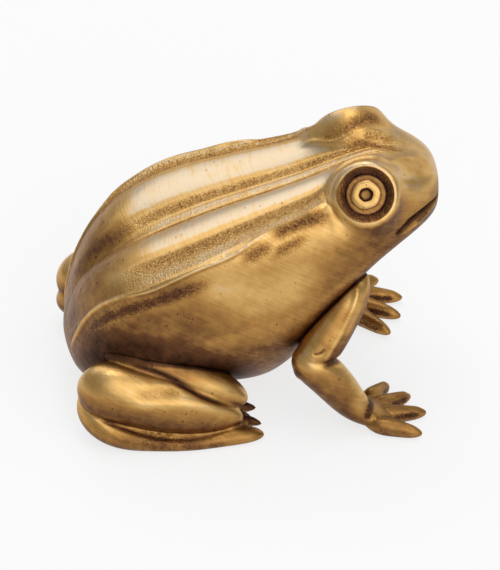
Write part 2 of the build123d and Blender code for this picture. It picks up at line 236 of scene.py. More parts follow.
# %% [markdown]
# A ridge of the back is not only an edge. Beside the spine the metal dips in a narrow valley, swells to a
# polished band, and falls into a rough valley before it climbs to the side ridge. That profile is written
# once, as a height over the share of the way from spine to ridge. The two sides were not cast quite alike,
# so they have their own shares. Along the frog each form fades in and out between four places on x.

# %% Relief of a back panel
SPINE_HALF = 0.08
BAND_START, BAND_END = {RIGHT: 0.12, LEFT: 0.3}, {RIGHT: 0.56, LEFT: 0.82}
SPINE_HEIGHT, BAND_HEIGHT, OUTER_DIP, RIDGE_HEIGHT = 0.55, 0.7, 0.6, 0.6
INNER_DIP, INNER_DARK = {RIGHT: 0.15, LEFT: 0.45}, {RIGHT: 0.12, LEFT: 0.25}
OUTER_DARK, BOTTOM_DARK, SPINE_GRAIN, SPINE_RUB, SLOPE_RUB = 0.06, 0.22, 0.6, 0.8, 0.6
BAND_RUN, RIDGE_RUN, SPINE_RUN = (-56, -34, 34, 52), (-67.3, -63, 4, 22), (-52, -32, 42, 60)
INNER_SHARES, BOTTOM_SHARES, SLOPE_SHARES = (0, 0.3, 0.6, 1), (0, 0.2, 0.3, 0.7), (0, 0.2, 0.85, 1)
BAND_SHARES, RUB_SHARES = (0, 0.1, 0.8, 1), (0.4, 0.7)


def panel_relief(share, x, side):
    """Height, patina, grain and polish over a panel. The spine is a half cosine, the band is 4t(1-t), the
    valleys are sine dips, and the outer one climbs to the ridge by the cube of the way."""
    trunk, ridge, spine_fade = (between(x, *run) for run in (BAND_RUN, RIDGE_RUN, SPINE_RUN))
    spine = np.cos(np.clip(share / SPINE_HALF, 0, 1) * np.pi / 2)
    inner = np.clip((share - SPINE_HALF) / (BAND_START[side] - SPINE_HALF), 0, 1)
    band = np.clip((share - BAND_START[side]) / (BAND_END[side] - BAND_START[side]), 0, 1)
    outer = np.clip((share - BAND_END[side]) / (1 - BAND_END[side]), 0, 1)
    height = spine_fade * (spine * SPINE_HEIGHT - np.sin(np.pi * inner) * INNER_DIP[side])
    height = height + trunk * (4 * band * (1 - band) * BAND_HEIGHT - np.sin(np.pi * outer) * OUTER_DIP)
    height = height + ridge * outer**3 * RIDGE_HEIGHT
    inner_valley = between(inner, *INNER_SHARES) * spine_fade
    outer_bottom = between(outer, *BOTTOM_SHARES) * trunk
    outer_slope = between(outer, *SLOPE_SHARES) * trunk
    outer_dark = OUTER_DARK * outer_slope + BOTTOM_DARK * outer_bottom
    patina = np.maximum(INNER_DARK[side] * inner_valley, outer_dark)
    grain = np.maximum(inner_valley, outer_slope) + SPINE_GRAIN * spine * spine_fade
    # The band's polish is worn brass and also a painted highlight across the panel.
    polish_and_highlight = np.maximum(between(band, *BAND_SHARES), SLOPE_RUB * ease(*RUB_SHARES, outer)) * trunk
    polish_and_highlight = np.maximum(polish_and_highlight, SPINE_RUB * spine * spine_fade)
    return np.stack([height, patina, grain, polish_and_highlight])


print("relief from spine to ridge, mm:", panel_relief(np.linspace(0, 1, 6), 0.0, RIGHT)[0].round(2))

# %% One half of every section
PANEL_STEPS, SHOULDER_STEPS, BELLY_STEPS = 52, 38, 20


def half_section(at, side, relief=True):
    """One side of every section, from spine to belly: rows of out, up, patina, grain and polish. The panel
    is a chord plus its rise, the shoulder and the belly are quarter ellipses."""
    share = np.linspace(0, 1, PANEL_STEPS)[None, :]
    height, *layers = panel_relief(share, at.x, side) * relief
    rise = 4 * at.crown * share * (1 - share) + height
    drop = at.ridge_up - at.spine
    chord = np.maximum(np.hypot(at.ridge_out, drop), 1e-6)
    panel_out = at.ridge_out * share - rise * drop / chord
    panel_up = at.spine + drop * share + rise * at.ridge_out / chord
    turn = np.linspace(0, np.pi / 2, SHOULDER_STEPS)[None, 1:]
    shoulder_out = at.ridge_out + (at.flank_out - at.ridge_out) * np.sin(turn)
    shoulder_up = at.flank_up + (at.ridge_up + height[:, -1:] - at.flank_up) * np.cos(turn)
    under = np.linspace(0, np.pi / 2, BELLY_STEPS)[None, 1:]
    belly_out = at.flank_out * np.cos(under)
    belly_up = at.flank_up - (at.flank_up - at.belly) * np.sin(under)
    plain = np.zeros((len(at.x), SHOULDER_STEPS + BELLY_STEPS - 2))
    return np.stack([np.concatenate([panel_out, shoulder_out, belly_out], 1),
                     np.concatenate([panel_up, shoulder_up, belly_up], 1),
                     *[np.concatenate([layer, plain], 1) for layer in layers]])


# %% The body's grid
BODY_COLUMNS = 410


def ring_normals(rings):
    """Unit normals of a grid of rings: the cross product of the steps along and round it, pointing
    outwards."""
    along = np.gradient(rings, axis=0)
    around = np.roll(rings, -1, 1) - np.roll(rings, 1, 1)
    normal = unit(np.cross(along, around))
    outward = np.einsum("ijk,ijk->", normal, rings - rings.mean(1, keepdims=True))
    return normal * np.sign(outward)


def body_rings(columns, grow=0.0, relief=True):
    """Whole rings (columns, around, 3), right half then left half back to the spine, moved outwards by
    grow, and their patina, grain and polish."""
    at = sections_at(np.linspace(0, station_at[-1], columns + 2)[1:-1])
    right, left = (half_section(at, side, relief) for side in SIDES)
    right[0] *= RIGHT
    y, z, *layers = np.concatenate([right, left[:, :, -2:0:-1]], 2)
    rings = np.stack([np.broadcast_to(at.x, y.shape), y, z], -1)
    return rings + grow * ring_normals(rings), layers


rings, body_layers = body_rings(BODY_COLUMNS)
print("body grid:", rings.shape[0], "rings of", rings.shape[1])

# %% [markdown]
# ## Eye mounts
# Each eye sits in a socket on a ball that stands out of the head. The grid makes it by swelling: every
# point inside the ball is pushed straight away from its middle until it lies on the ball, and a soft
# maximum leaves a small fillet where the two meet. The top of the ball is then pressed flat into a bezel. A
# smaller ball fills the back of the left eye's dome.

# %% Swell the grid over a ball
BALL_FILLET, BALL_EDGE = 1.8, (0.3, 2.0)


def swell(points, middle, radius):
    """Distance from the ball's middle becomes its soft maximum with the radius, w * log(e^(d/w) + e^(R/w)).
    Returns the points, and from 0 to 1 how much of a point's skin is the ball's."""
    away = points - middle
    distance = np.linalg.norm(away, axis=-1, keepdims=True)
    swollen = BALL_FILLET * np.logaddexp(distance / BALL_FILLET, radius / BALL_FILLET)
    return middle + away * swollen / distance, ease(*BALL_EDGE, (swollen - distance)[..., 0])


FAR_DOME, FAR_DOME_BALL = np.array([31.5, 21, 82.8]), 10.4
rings, on_dome = swell(rings, FAR_DOME, FAR_DOME_BALL)
body_layers[-1] = body_layers[-1] * (1 - on_dome)
print("points on the dome:", int((on_dome > 0.5).sum()))

# %% Swell the head over the eyes
EYE_CENTRE = (38.6, 24.5, 89.6)
EYE_AXIS = (-0.11, 0.81, 0.57)
SOCKET_RIM, GROOVE_RADIUS, GROOVE_DEPTH = 9.9, 7.3, 3.0
BEZEL_WIDTH, BEZEL_DROP, BEZEL_TOP = 2.4, 0.9, 0.35
EYE_BALL, BALL_REACH = 13.8, (4, 9)
BLEND_ROUNDS = 70


def eye_axes(side):
    """The eye's middle and three unit directions: across, up the face, and out along its axis."""
    flip = np.array([1, side, 1])
    axis = unit(np.array(EYE_AXIS) * flip)
    across = unit(np.cross([0, 0, 1], axis))
    return np.array(EYE_CENTRE) * flip, across, np.cross(axis, across), axis


def about_axis(points, middle, axis):
    """Height over the middle along the axis, and distance from the axis."""
    height = (points - middle) @ axis
    return height, np.linalg.norm(points - middle - height[..., None] * axis, axis=-1)


def swell_eye(points, side):
    """Swell the head over the eye's ball; then the height over the rim is held under a bezel that falls by
    the square of the way out. Also returns how much of a point's skin is the ball's, and where the blend
    outside the bezel should be soft."""
    middle, _, _, axis = eye_axes(side)
    ball = middle - (BEZEL_DROP + sqrt(EYE_BALL**2 - (SOCKET_RIM + BEZEL_WIDTH)**2)) * axis
    points, on_ball = swell(points, ball, EYE_BALL)
    from_ball = np.linalg.norm(points - ball, axis=-1)
    height, radius = about_axis(points, middle, axis)
    outer = np.clip((radius - SOCKET_RIM) / BEZEL_WIDTH, 0, 3)
    press = np.minimum(height, BEZEL_TOP - BEZEL_DROP * outer**2) - height
    press *= (radius < SOCKET_RIM + 2 * BEZEL_WIDTH) & (height > -2 * BEZEL_DROP)
    blend = ease(SOCKET_RIM + 0.7 * BEZEL_WIDTH, SOCKET_RIM + 2 * BEZEL_WIDTH, radius)
    blend *= 1 - ease(*(EYE_BALL + np.array(BALL_REACH)), from_ball)
    return points + press[..., None] * axis, on_ball, blend


def soften(points, weight, rounds):
    """Move every point half way to the mean of its four neighbours in the grid, as far as its weight
    allows."""
    for step in range(rounds):
        ends = np.concatenate([points[:1], points, points[-1:]])
        mean = (np.roll(points, 1, 1) + np.roll(points, -1, 1) + ends[:-2] + ends[2:]) / 4
        points = points + 0.5 * weight[..., None] * (mean - points)
    return points


for side in SIDES:
    rings, on_ball, blend = swell_eye(rings, side)
    rings = soften(rings, blend, BLEND_ROUNDS)
    body_layers = [layer * (1 - on_ball) for layer in body_layers]
print("eye balls reach up to", round(rings[..., 2].max(), 1), "mm")

# %% [markdown]
# ## Hand work on the casting
# Brows, creases and file marks are strokes: a line drawn on the surface with a width and a height. A point
# moves along its normal by height * exp(-(d / width)^2), where d is its distance to the line. This is
# sculpting with numbers, and the same stroke can also leave patina or polish behind. Some strokes only
# paint shade or a highlight into the colour. A place is given as x, the way out from the middle and z, so
# that one stroke can serve both sides.

# %% How a stroke is carved
# A stroke's patina can be painted shade, and its rub a painted highlight.
Stroke = namedtuple("Stroke", "points width height patina grain taper rub", defaults=(0.0, 0.0, 0.25, 0.0))
STROKE_STEPS = 40


def stroke_line(points):
    knots = distances(points)
    return smooth_through(knots, points, np.linspace(0, knots[-1], STROKE_STEPS))


def stroke_weight(points, line, width, taper):
    """exp(-(d/width)^2) from the nearest span of the line, fading over the first and last shares of its
    length."""
    nearest = np.full(points.shape[:-1], np.inf)
    share = np.zeros(points.shape[:-1])
    for index, (start, end) in enumerate(zip(line[:-1], line[1:])):
        run = end - start
        along = np.clip((points - start) @ run / (run @ run), 0, 1)
        distance = np.linalg.norm(points - start - along[..., None] * run, axis=-1)
        closer = distance < nearest
        nearest = np.where(closer, distance, nearest)
        share = np.where(closer, (index + along) / (len(line) - 1), share)
    fade = ease(0, taper, share) * ease(0, taper, 1 - share)
    return np.exp(-(nearest / width)**2) * fade


def carve(points, normals, layers, strokes, sides):
    """Apply named strokes on the wanted sides. The layers are patina with painted shade, grain, and rub with
    painted highlights.
    """
    for stroke in strokes.values():
        for side in sides:
            line = stroke_line(np.array(stroke.points) * [1, side, 1])
            weight = stroke_weight(points, line, stroke.width, stroke.taper)
            points = points + (stroke.height * weight)[..., None] * normals
            left_behind = (stroke.patina, stroke.grain, stroke.rub)
            layers = [np.maximum(layer, amount * weight) for layer, amount in zip(layers, left_behind)]
    return points, layers


# %% Strokes on both sides of the body
BOTH_SIDES = {
    "side crest": Stroke(
        [(-66.2, 10, 21), (-65, 14.4, 29), (-60.2, 20.7, 43.3), (-51.3, 27.8, 54.3), (-39.4, 34.6, 61.9),
         (-33, 35.6, 65.5), (-19.7, 35.3, 71.1), (-13.9, 34.8, 72.9), (-0.2, 30.6, 78.2), (8, 28.3, 80.6)],
        0.8, 0.75, taper=0.1, rub=0.9),
    # Painted highlights: pale bands over the shoulder and the flank stand for light reflected there.
    "painted highlight on the shoulder": Stroke(
        [(-34, 37, 62), (-17, 37.5, 64), (-6, 38, 60), (5, 37.6, 58), (14, 36.3, 63), (25, 34, 71)],
        11.0, 0.0, taper=0.3, rub=0.6),
    "painted highlight on the flank": Stroke(
        [(-28, 37.2, 63), (-11.8, 37.5, 61.5), (4, 37.8, 60)], 7.0, 0.0, taper=0.4, rub=0.7),
    "valley under the crest": Stroke(
        [(-63.7, 18.5, 27.4), (-60.5, 22.7, 37.1), (-53.2, 28.9, 47.7), (-42.9, 34.1, 54.9),
         (-30.3, 36.4, 60.6), (-19.9, 36.5, 65), (-13, 36.2, 68.1)],
        2.8, -0.7, patina=0.62, grain=0.8),
    "upper neck scoop": Stroke(
        [(-9.4, 35.4, 70.3), (-4.2, 34.1, 72.8), (1.3, 33.1, 75.2), (6.8, 32.2, 76.7)],
        2.6, -0.4, patina=0.45, grain=0.9, taper=0.4),
    "lower neck scoop": Stroke(
        [(0, 35, 70.9), (6.6, 33.8, 73.9), (14, 32.1, 77.3), (19.8, 31.2, 79.2)],
        2.2, -0.2, patina=0.4, grain=0.8, taper=0.4),
    "hollow behind the eye": Stroke(
        [(2, 31, 78), (8.3, 29.5, 80), (14.6, 28.3, 82), (21, 28, 83.4), (27.3, 27.5, 84)],
        2.8, -0.8, patina=0.5, grain=0.9),
    "cheek line": Stroke([(50, 26, 74.4), (43.2, 28.6, 74.6), (37.9, 30.1, 73.9)], 0.5, -0.35, patina=0.4),
    # Painted shade on the lower rear flank.
    "painted shade on the rear flank": Stroke([(-60, 24, 36), (-40, 36, 49), (-26, 38, 47)], 8.0, 0.0, patina=0.36),
    "brown jaw": Stroke([(26, 33, 68), (32, 31.7, 71.2), (40, 30, 72)], 6.0, 0.0, patina=0.26),
}
print("on both sides:", ", ".join(BOTH_SIDES))

# %% Strokes on one side of the body
NEAR_SIDE = {
    # Painted highlight on the near rump.
    "painted highlight on the near rump": Stroke([(-56, 14, 50), (-45.6, 20, 60.9), (-36, 20, 65)], 6.0, 0.0, rub=0.72),
    # A lighter colour on the near cheek.
    "lighter cheek": Stroke([(46, 27, 76), (50.7, 25.9, 78.6), (56, 20, 82)], 4.0, 0.0, rub=0.15),
    "brown nose": Stroke([(56, 14, 87), (60.1, 8.4, 89.7), (63, 3, 87)], 5.0, 0.0, patina=0.16),
    "end of the crest": Stroke([(0, 30.6, 78.2), (11, 27.5, 81.7), (21, 26, 85.5)], 0.9, 0.5),
    "swelling behind the eye": Stroke(
        [(14, 26.6, 83), (22, 25, 86.5), (28, 23.6, 89.5), (33, 21, 93)], 4.0, 0.9),
    "brow": Stroke(
        [(20, 18.5, 85), (26.1, 15.5, 88.9), (29.3, 12.8, 93.3), (34.3, 11.3, 96.3), (40.3, 11.2, 97.4),
         (45.4, 12.4, 96.5), (50.5, 9.5, 94), (55, 6.8, 92.3), (61, 5.5, 89.8)],
        1.4, 1.2, taper=0.15),
    "line outside the brow": Stroke(
        [(27, 20.5, 86), (28.2, 16.5, 92), (33.6, 13.6, 96.4), (40.2, 13.2, 97.6), (46, 14.5, 96.4),
         (50.8, 18.5, 92.5)],
        1.0, -0.35, patina=0.1),
}
FAR_SIDE = {
    # Painted shade on the far rump.
    "painted shade on the far rump": Stroke([(-65, 2, 34), (-58, 6, 48), (-47, 6, 58), (-38, 10, 63)], 6.5, 0.0, patina=0.5),
    # Painted highlight on top of the far dome.
    "painted highlight on the far dome": Stroke([(25, 20, 91), (29, 18, 95), (34, 15, 97.3), (38, 14, 98)], 4.5, 0.0, rub=0.75),
    "rough forehead": Stroke(
        [(40, 7, 93), (47.6, 5.7, 92.8), (54, 3, 92.5)], 2.6, 0.0, patina=0.3, grain=0.8),
    "brow": Stroke(
        [(16.2, 14.3, 84.5), (19.8, 14.5, 85.8), (24.4, 13.3, 87.7), (32.3, 7.7, 91), (37, 7.6, 93.3),
         (42.2, 8.6, 94.4), (48.1, 9.4, 93.8), (54.2, 6.7, 93.4)],
        1.2, 0.7),
    "hollow outside the brow": Stroke(
        [(25, 14, 88.5), (33, 11, 92.5), (40, 11.5, 95.8), (46, 13.5, 96.5), (53, 12.5, 93.4)],
        2.7, -0.3, patina=0.5, grain=1.0, taper=0.3),
    "hollow inside the brow": Stroke(
        [(33, 4.7, 88.7), (37.4, 5.1, 91.1), (42.4, 4.4, 91.6), (47, 1.3, 92), (52, -1.5, 92.1),
         (57.1, -3.8, 91.6)],
        2.0, -0.3, patina=0.42, grain=1.0),
}
normals = ring_normals(rings)
for strokes, sides in ((BOTH_SIDES, SIDES), (NEAR_SIDE, [RIGHT]), (FAR_SIDE, [LEFT])):
    rings, body_layers = carve(rings, normals, body_layers, strokes, sides)
    print("strokes:", len(strokes), "on", len(sides), "sides")

# %% A smooth snout
SNOUT_RUN, SNOUT_UP, SNOUT_ROUNDS = (48, 55, 61, 65), (79, 83), 60
snout = between(rings[..., 0], *SNOUT_RUN) * ease(*SNOUT_UP, rings[..., 2])
rings = soften(rings, snout, SNOUT_ROUNDS)
print("points of the snout made smooth:", int((snout > 0.5).sum()))

# %% Filed bezels with a painted highlight, and painted shade at the rump
BEZEL_POLISH_AND_HIGHLIGHT, BEZEL_TURN, BEZEL_TAPER = 1.0, (0.2 * np.pi, np.pi), 0.3
REAR_SHADE, REAR_RUN = 0.36, (-62, -28)
patina, grain, polish_and_highlight = body_layers
# The upper half of each bezel is polished, as filed brass and as a painted highlight.
turn = np.linspace(*BEZEL_TURN, STROKE_STEPS)[:, None]
for side in SIDES:
    middle, across, up, _ = eye_axes(side)
    bezel = middle + (SOCKET_RIM + BEZEL_WIDTH / 2) * (np.cos(turn) * across + np.sin(turn) * up)
    polish_and_highlight = np.maximum(polish_and_highlight, BEZEL_POLISH_AND_HIGHLIGHT * stroke_weight(rings, bezel, BEZEL_WIDTH / 2, BEZEL_TAPER))
# Painted shade: the colour darkens towards the rear, less where polished.
rear_shade = REAR_SHADE * (1 - ease(*REAR_RUN, rings[..., 0])) * (1 - polish_and_highlight)
patina = np.maximum(patina, rear_shade)
print("polish over the body, mean:", round(float(polish_and_highlight.mean()), 2))

# %% Make the body's mesh
tail, nose = ((station.x, 0, station.spine) for station in (STATIONS[0], STATIONS[-1]))
body_mesh = closed_tube("body_casting", rings, tail, nose, patina=patina, grain=grain, burnish=polish_and_highlight)
body = add_piece("body_casting", body_mesh)
print("body faces:", len(body.data.polygons))

# %% [markdown]
# ## Sockets, mouth and belly opening
# These have crisp edges, so they are cut with closed cutters: a turned profile for each socket, a tapering
# profile carried round the snout for the mouth, and an oval block where the belly plate sits. The walls
# that a cut leaves are new, so they get their patina afterwards, by their place.

# %% Socket cutters
SOCKET_AROUND, SOCKET_FLOOR, SOCKET_OVER, CAST_WAVE = 144, 5.0, 3, 0.12


def turned(name, side, outline, around, wobble, **layers):
    """Revolve (radius r, height h) points about the eye's axis:
    p = middle + r * (cos(t) across + sin(t) up) + h * axis, where wobble adds to r."""
    middle, across, up, axis = eye_axes(side)
    radius, height = np.array(outline[1:-1], float).T
    angle = np.linspace(0, 2 * np.pi, around, endpoint=False)
    radius = radius[:, None] + wobble(radius[:, None], angle)
    spokes = np.cos(angle)[:, None] * across + np.sin(angle)[:, None] * up
    rows = middle + radius[..., None] * spokes + height[:, None, None] * axis
    first, last = (middle + outline[end][1] * axis for end in (0, -1))
    return closed_tube(name, rows, first, last, **layers)


def cast_rough(radius, angle):
    """Uneven walls as they leave the mould: three waves round the socket, none at the filed rim."""
    waves = np.sin(5 * angle + 1) + np.sin(11 * angle) + 0.7 * np.sin(17 * angle + 2)
    return CAST_WAVE * waves * ((radius > GROOVE_RADIUS + 0.1) & (radius < SOCKET_RIM - 0.5))


flare = (SOCKET_RIM - GROOVE_RADIUS) / GROOVE_DEPTH
SOCKET_OUTLINE = [(0, SOCKET_OVER), (SOCKET_RIM + SOCKET_OVER * flare, SOCKET_OVER), (SOCKET_RIM, 0),
                  (SOCKET_RIM - 0.4, -0.35), (GROOVE_RADIUS + 0.7, -1.1), (GROOVE_RADIUS + 0.02, -1.75),
                  (GROOVE_RADIUS, -GROOVE_DEPTH), (GROOVE_RADIUS, -SOCKET_FLOOR), (0, -SOCKET_FLOOR)]
sockets = []
for side in SIDES:
    socket_mesh = turned("socket", side, SOCKET_OUTLINE, SOCKET_AROUND, cast_rough)
    sockets.append(add_piece("socket", socket_mesh))
print("socket cutters:", len(sockets), "of radius", SOCKET_RIM, "mm at the rim")

# %% The line of the mouth
MOUTH_LINE = np.array([(48.4, 72.9), (54.0, 74.6), (61.0, 76.5), (67.4, 77.2)])
MOUTH_STEPS, MOUTH_FINE_STEPS = 120, 400


def skin_out(at, level):
    """Half width of the sections at a height: the shoulder's ellipse above the flank, the belly's below
    it."""
    above = (level - at.flank_up) / np.maximum(at.ridge_up - at.flank_up, 1e-6)
    below = (at.flank_up - level) / np.maximum(at.flank_up - at.belly, 1e-6)
    shoulder = at.ridge_out + (at.flank_out - at.ridge_out) * np.sqrt(np.clip(1 - above**2, 0, 1))
    return np.where(above > 0, shoulder, at.flank_out * np.sqrt(np.clip(1 - below**2, 0, 1)))


def mouth_path():
    """Points round the snout at even distances, from the right corner to the left one."""
    corner, front = np.interp([MOUTH_LINE[0, 0], STATIONS[-1].x], sizes[:, 0], station_at)
    at = sections_at(np.linspace(corner, front, MOUTH_FINE_STEPS))
    level = smooth_through(MOUTH_LINE[:, 0], MOUTH_LINE[:, 1:], at.x[:, 0])
    right = np.stack([at.x[:, 0], RIGHT * skin_out(at, level)[:, 0], level[:, 0]], -1)
    line = np.concatenate([right, right[::-1] * [1, -1, 1]])
    length = distances(line)
    where = np.linspace(0, length[-1], MOUTH_STEPS)
    return np.stack([np.interp(where, length, column) for column in line.T], -1)


lip = mouth_path()
print("the mouth is", round(distances(lip)[-1]), "mm long round the snout")

# %% Mouth cutter
MOUTH_GAPE, MOUTH_FRONT_GAPE, MOUTH_DEPTH = 5.4, 1.5, 1.8
CORNER_OPENS, GAPE_NARROWS, CORNER_DEEPENS = (-0.05, 0.22), (0.2, 0.9), (0, 0.15)
MOUTH_REACH = np.array([1.5, 0, -0.8, -1, -0.8, -1, -0.75, -0.95, -0.6, 0, 1.5])
MOUTH_RISE = np.array([1.15, 1, 0.9, 0.65, 0.4, 0.15, -0.1, -0.35, -0.7, -1, -1.15])
heading = np.gradient(lip, axis=0) * [1, 1, 0]
outward = unit(np.cross(heading, [0, 0, 1]))
outward *= np.sign(outward[MOUTH_STEPS // 2, 0])
from_corner = 1 - np.abs(np.linspace(-1, 1, MOUTH_STEPS))
gape = np.maximum(ease(*CORNER_OPENS, from_corner), 0.01) / 2
gape = gape * (MOUTH_GAPE + (MOUTH_FRONT_GAPE - MOUTH_GAPE) * ease(*GAPE_NARROWS, from_corner))
deep = MOUTH_DEPTH * ease(*CORNER_DEEPENS, from_corner)
depth = np.where(MOUTH_REACH > 0, MOUTH_REACH, MOUTH_REACH * deep[:, None])
mouth_rings = lip[:, None] + depth[..., None] * outward[:, None]
mouth_rings[..., 2] += MOUTH_RISE * gape[:, None]
mouth = add_piece("mouth", closed_tube("mouth", mouth_rings, lip[0], lip[-1]))
print("widest gape:", round(2 * gape.max(), 1), "mm")

# %% Belly cutter, from the plate's own box
PLATE_FIT, PLATE_AROUND = 0.2, 96
low, high = (np.array(corner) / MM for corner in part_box("belly_plate"))
centre, half = (low + high)[:2] / 2, (high - low)[:2] / 2 + PLATE_FIT
oval_rings = np.zeros((2, PLATE_AROUND, 3))
oval_rings[..., :2] = centre + half * np.stack(circle(PLATE_AROUND), -1)
oval_rings[1, :, 2] = high[2]
opening = add_piece("opening", closed_tube("opening", oval_rings, (*centre, 0), (*centre, high[2])))
cut(body, *sockets, mouth, opening)
print("body faces after cutting:", len(body.data.polygons))

# %% Patina in the cuts
WALL_DEPTHS, WALL_PATINA, WALL_MARGIN = (0.1, 0.4, 1.7, 3.0), (0.0, 0.6, 0.75, 0.9), (0.2, 0.1)
LIP_DARK, LIP_GRAIN, LIP_WIDTH, LIP_TAPER, LIP_STEP = 0.85, 0.4, 2.1, 0.02, 3
points = vertex_array(body.data) / MM
patina, grain = (get_layer(body.data, name) for name in ("patina", "grain"))
for side in SIDES:
    middle, _, _, axis = eye_axes(side)
    height, radius = about_axis(points, middle, axis)
    wall = np.interp(-height, WALL_DEPTHS, WALL_PATINA)
    wall *= (radius < SOCKET_RIM + WALL_MARGIN[0]) & (height > -SOCKET_FLOOR - WALL_MARGIN[1])
    patina, grain = np.maximum(patina, wall), np.maximum(grain, wall)
throat = (lip - deep[:, None] * outward)[::LIP_STEP]
mouth_dark = LIP_DARK * stroke_weight(points, throat, LIP_WIDTH, LIP_TAPER)
set_layer(body.data, "patina", np.maximum(patina, mouth_dark))
set_layer(body.data, "grain", np.maximum(grain, LIP_GRAIN * mouth_dark))
print("dark points in the mouth:", int((mouth_dark > 0.5).sum()))

# %% [markdown]
# ## Eye buttons
# An eye is a small turned button with a flat face, a pupil hole and a sloping ring that disappears in the
# groove of its socket. A revolve is the natural way to make it. The real one was filed by hand, so its
# radius wobbles a little.

# %% Two eye buttons
EYE_FACE, EYE_FACE_DROP, EYE_RADIUS, PUPIL, PUPIL_DEPTH = 5.4, 0.8, 7.2, 2.5, 1.5
EYE_AROUND, FILE_WOBBLE, FILED_TO, EYE_GRAIN = 96, 0.02, 6.5, 0.4
face, eye_back = -EYE_FACE_DROP, -SOCKET_FLOOR + 0.4
pupil_floor = face - PUPIL_DEPTH
EYE_OUTLINE = [(0, pupil_floor), (1.2, pupil_floor), (PUPIL - 0.5, pupil_floor + 0.2),
               (PUPIL - 0.15, face - 0.5), (PUPIL, face - 0.08), (PUPIL + 0.3, face), (3.6, face + 0.05),
               (4.5, face - 0.05), (EYE_FACE - 0.3, face - 0.3), (EYE_FACE, face - 0.7),
               (EYE_FACE + 0.4, face - 0.8), (6.6, -1.5), (EYE_RADIUS, -1.7),
               (EYE_RADIUS, -GROOVE_DEPTH - 0.3), (EYE_RADIUS, eye_back), (0, eye_back)]
EYE_PATINA = np.array([0.35, 0.75, 0.7, 0.3, 0.05, 0, 0, 0.1, 0.45, 0.4, 0.35, 0.5, 0.65, 0.8])[:, None]
eye_layers = {"patina": EYE_PATINA, "grain": EYE_GRAIN * EYE_PATINA, "burnish": 0}


def filed(radius, angle):
    """A hand-filed wobble: two slow waves round the button, growing with the radius."""
    waves = np.sin(2 * angle + 1) + 0.9 * np.sin(6 * angle)
    return FILE_WOBBLE * radius * waves * (radius < FILED_TO)


eyes = {}
for side, name in SIDES.items():
    eye_mesh = turned(f"eye_{name}", side, EYE_OUTLINE, EYE_AROUND, filed, **eye_layers)
    eyes[side] = add_piece(f"eye_button_{name}", eye_mesh)
print("eye faces:", len(eyes[RIGHT].data.polygons))

# %% [markdown]
# ## Legs
# A limb is an oval carried along a smooth path. The square of its half width is what the spline fills in,
# so a limb that ends at zero ends in a round tip, as 2rx - x^2 does on a ball. Overlapping limbs are then
# fused by a voxel remesh, which also leaves the soft creases of a casting.

# %% Limbs
LIMB_RINGS, LIMB_AROUND = 60, 40


def limb(root, waists, tip):
    """Rings of an oval square to a splined path: p = path + a cos(t) across + b sin(t) up, where a and b
    are its half width and half height. A waist is x, out, z, a, b."""
    spots = np.array([(*root, 0, 0), *waists, (*tip, 0, 0)], float)
    spots[:, 3:] **= 2
    knots = distances(spots[:, :3])
    along = knots[-1] * (1 - np.cos(np.linspace(0, np.pi, LIMB_RINGS))) / 2
    path = smooth_through(knots, spots, along)[1:-1]
    half = np.sqrt(np.maximum(path[:, 3:], 1e-4))
    heading = np.gradient(path[:, :3], axis=0)
    across = unit(np.cross([0, 0, 1], heading))
    upward = unit(np.cross(heading, across))
    cosine, sine = circle(LIMB_AROUND)
    wide = (half[:, :1] * cosine)[..., None] * across[:, None]
    tall = (half[:, 1:] * sine)[..., None] * upward[:, None]
    return path[:, None, :3] + wide + tall, root, tip


def digit(root, tip, radius, swells):
    """A round limb from root to tip, with a share of the radius at shares of the way."""
    root, tip = np.array(root), np.array(tip)
    waists = [(*(root + (tip - root) * along), swell * radius, swell * radius) for along, swell in swells]
    return limb(root, waists, tip)


def fuse(name, limbs, side, voxel, relax):
    """Join the limbs of one leg, fuse them by a voxel remesh and relax the creases."""
    flip = np.array([1, side, 1])
    joined = bmesh.new()
    for rows, root, tip in limbs:
        joined.from_mesh(closed_tube(name, rows * flip, np.array(root) * flip, np.array(tip) * flip))
    mesh = bpy.data.meshes.new(name)
    joined.to_mesh(mesh)
    joined.free()
    piece = add_piece(name, mesh)
    blend = piece.modifiers.new("fuse", "REMESH")
    blend.mode, blend.voxel_size = "VOXEL", voxel * MM
    soft = piece.modifiers.new("relax", "SMOOTH")
    soft.factor, soft.iterations = 0.5, relax
    settle(piece)
    print(piece.name, "faces:", len(piece.data.polygons))
    return piece


# %% Arms with hands and fingers
SHOULDER_TIP, ELBOW_TIP, FOREARM_TIP = (38.2, 24.5, 56.5), (12.4, 39.6, 22.4), (12.6, 37.8, 33.5)
UPPER_ARM = [(34.6, 28.2, 50.4, 5.2, 5.2), (28, 32.3, 41.8, 7, 7), (21.2, 36, 33, 7.4, 7.4),
             (16, 38.4, 27, 5.9, 5.9)]
FOREARM = [(15, 38, 30.2, 5.8, 5.8), (20.5, 38.8, 24.6, 7.3, 7.3), (27.2, 39.5, 16.5, 6.9, 6.9),
           (33, 39.5, 8.8, 6.4, 5.6)]
HANDS = {RIGHT: [(39.2, 38.4, 4.2, 8.6, 3.9), (44.2, 37.4, 2.8, 9, 3.1)],
         LEFT: [(38.8, 35.8, 4.2, 8.4, 3.9), (43.8, 34.6, 2.8, 8.8, 3.1)]}
PALM_REACH, TIP_UP, FINGER = 3.5, 1.8, 3.1
FINGER_ROOTS = [(-3.2, 5.4), (-1.0, 1.6), (-0.6, -2.4), (-1.8, -6.4)]
FINGERTIPS = {RIGHT: [(56.2, 50.6), (59.4, 37.6), (55, 26.6), (47.8, 19)],
              LEFT: [(53.2, 46.8), (60.4, 34.6), (58.2, 22.8), (53, 12.6)]}
FINGER_SWELL = ((0.25, 1.08), (0.55, 1.02), (0.83, 0.74))
ARM_VOXEL, ARM_RELAX = 0.35, 14
arms = {}
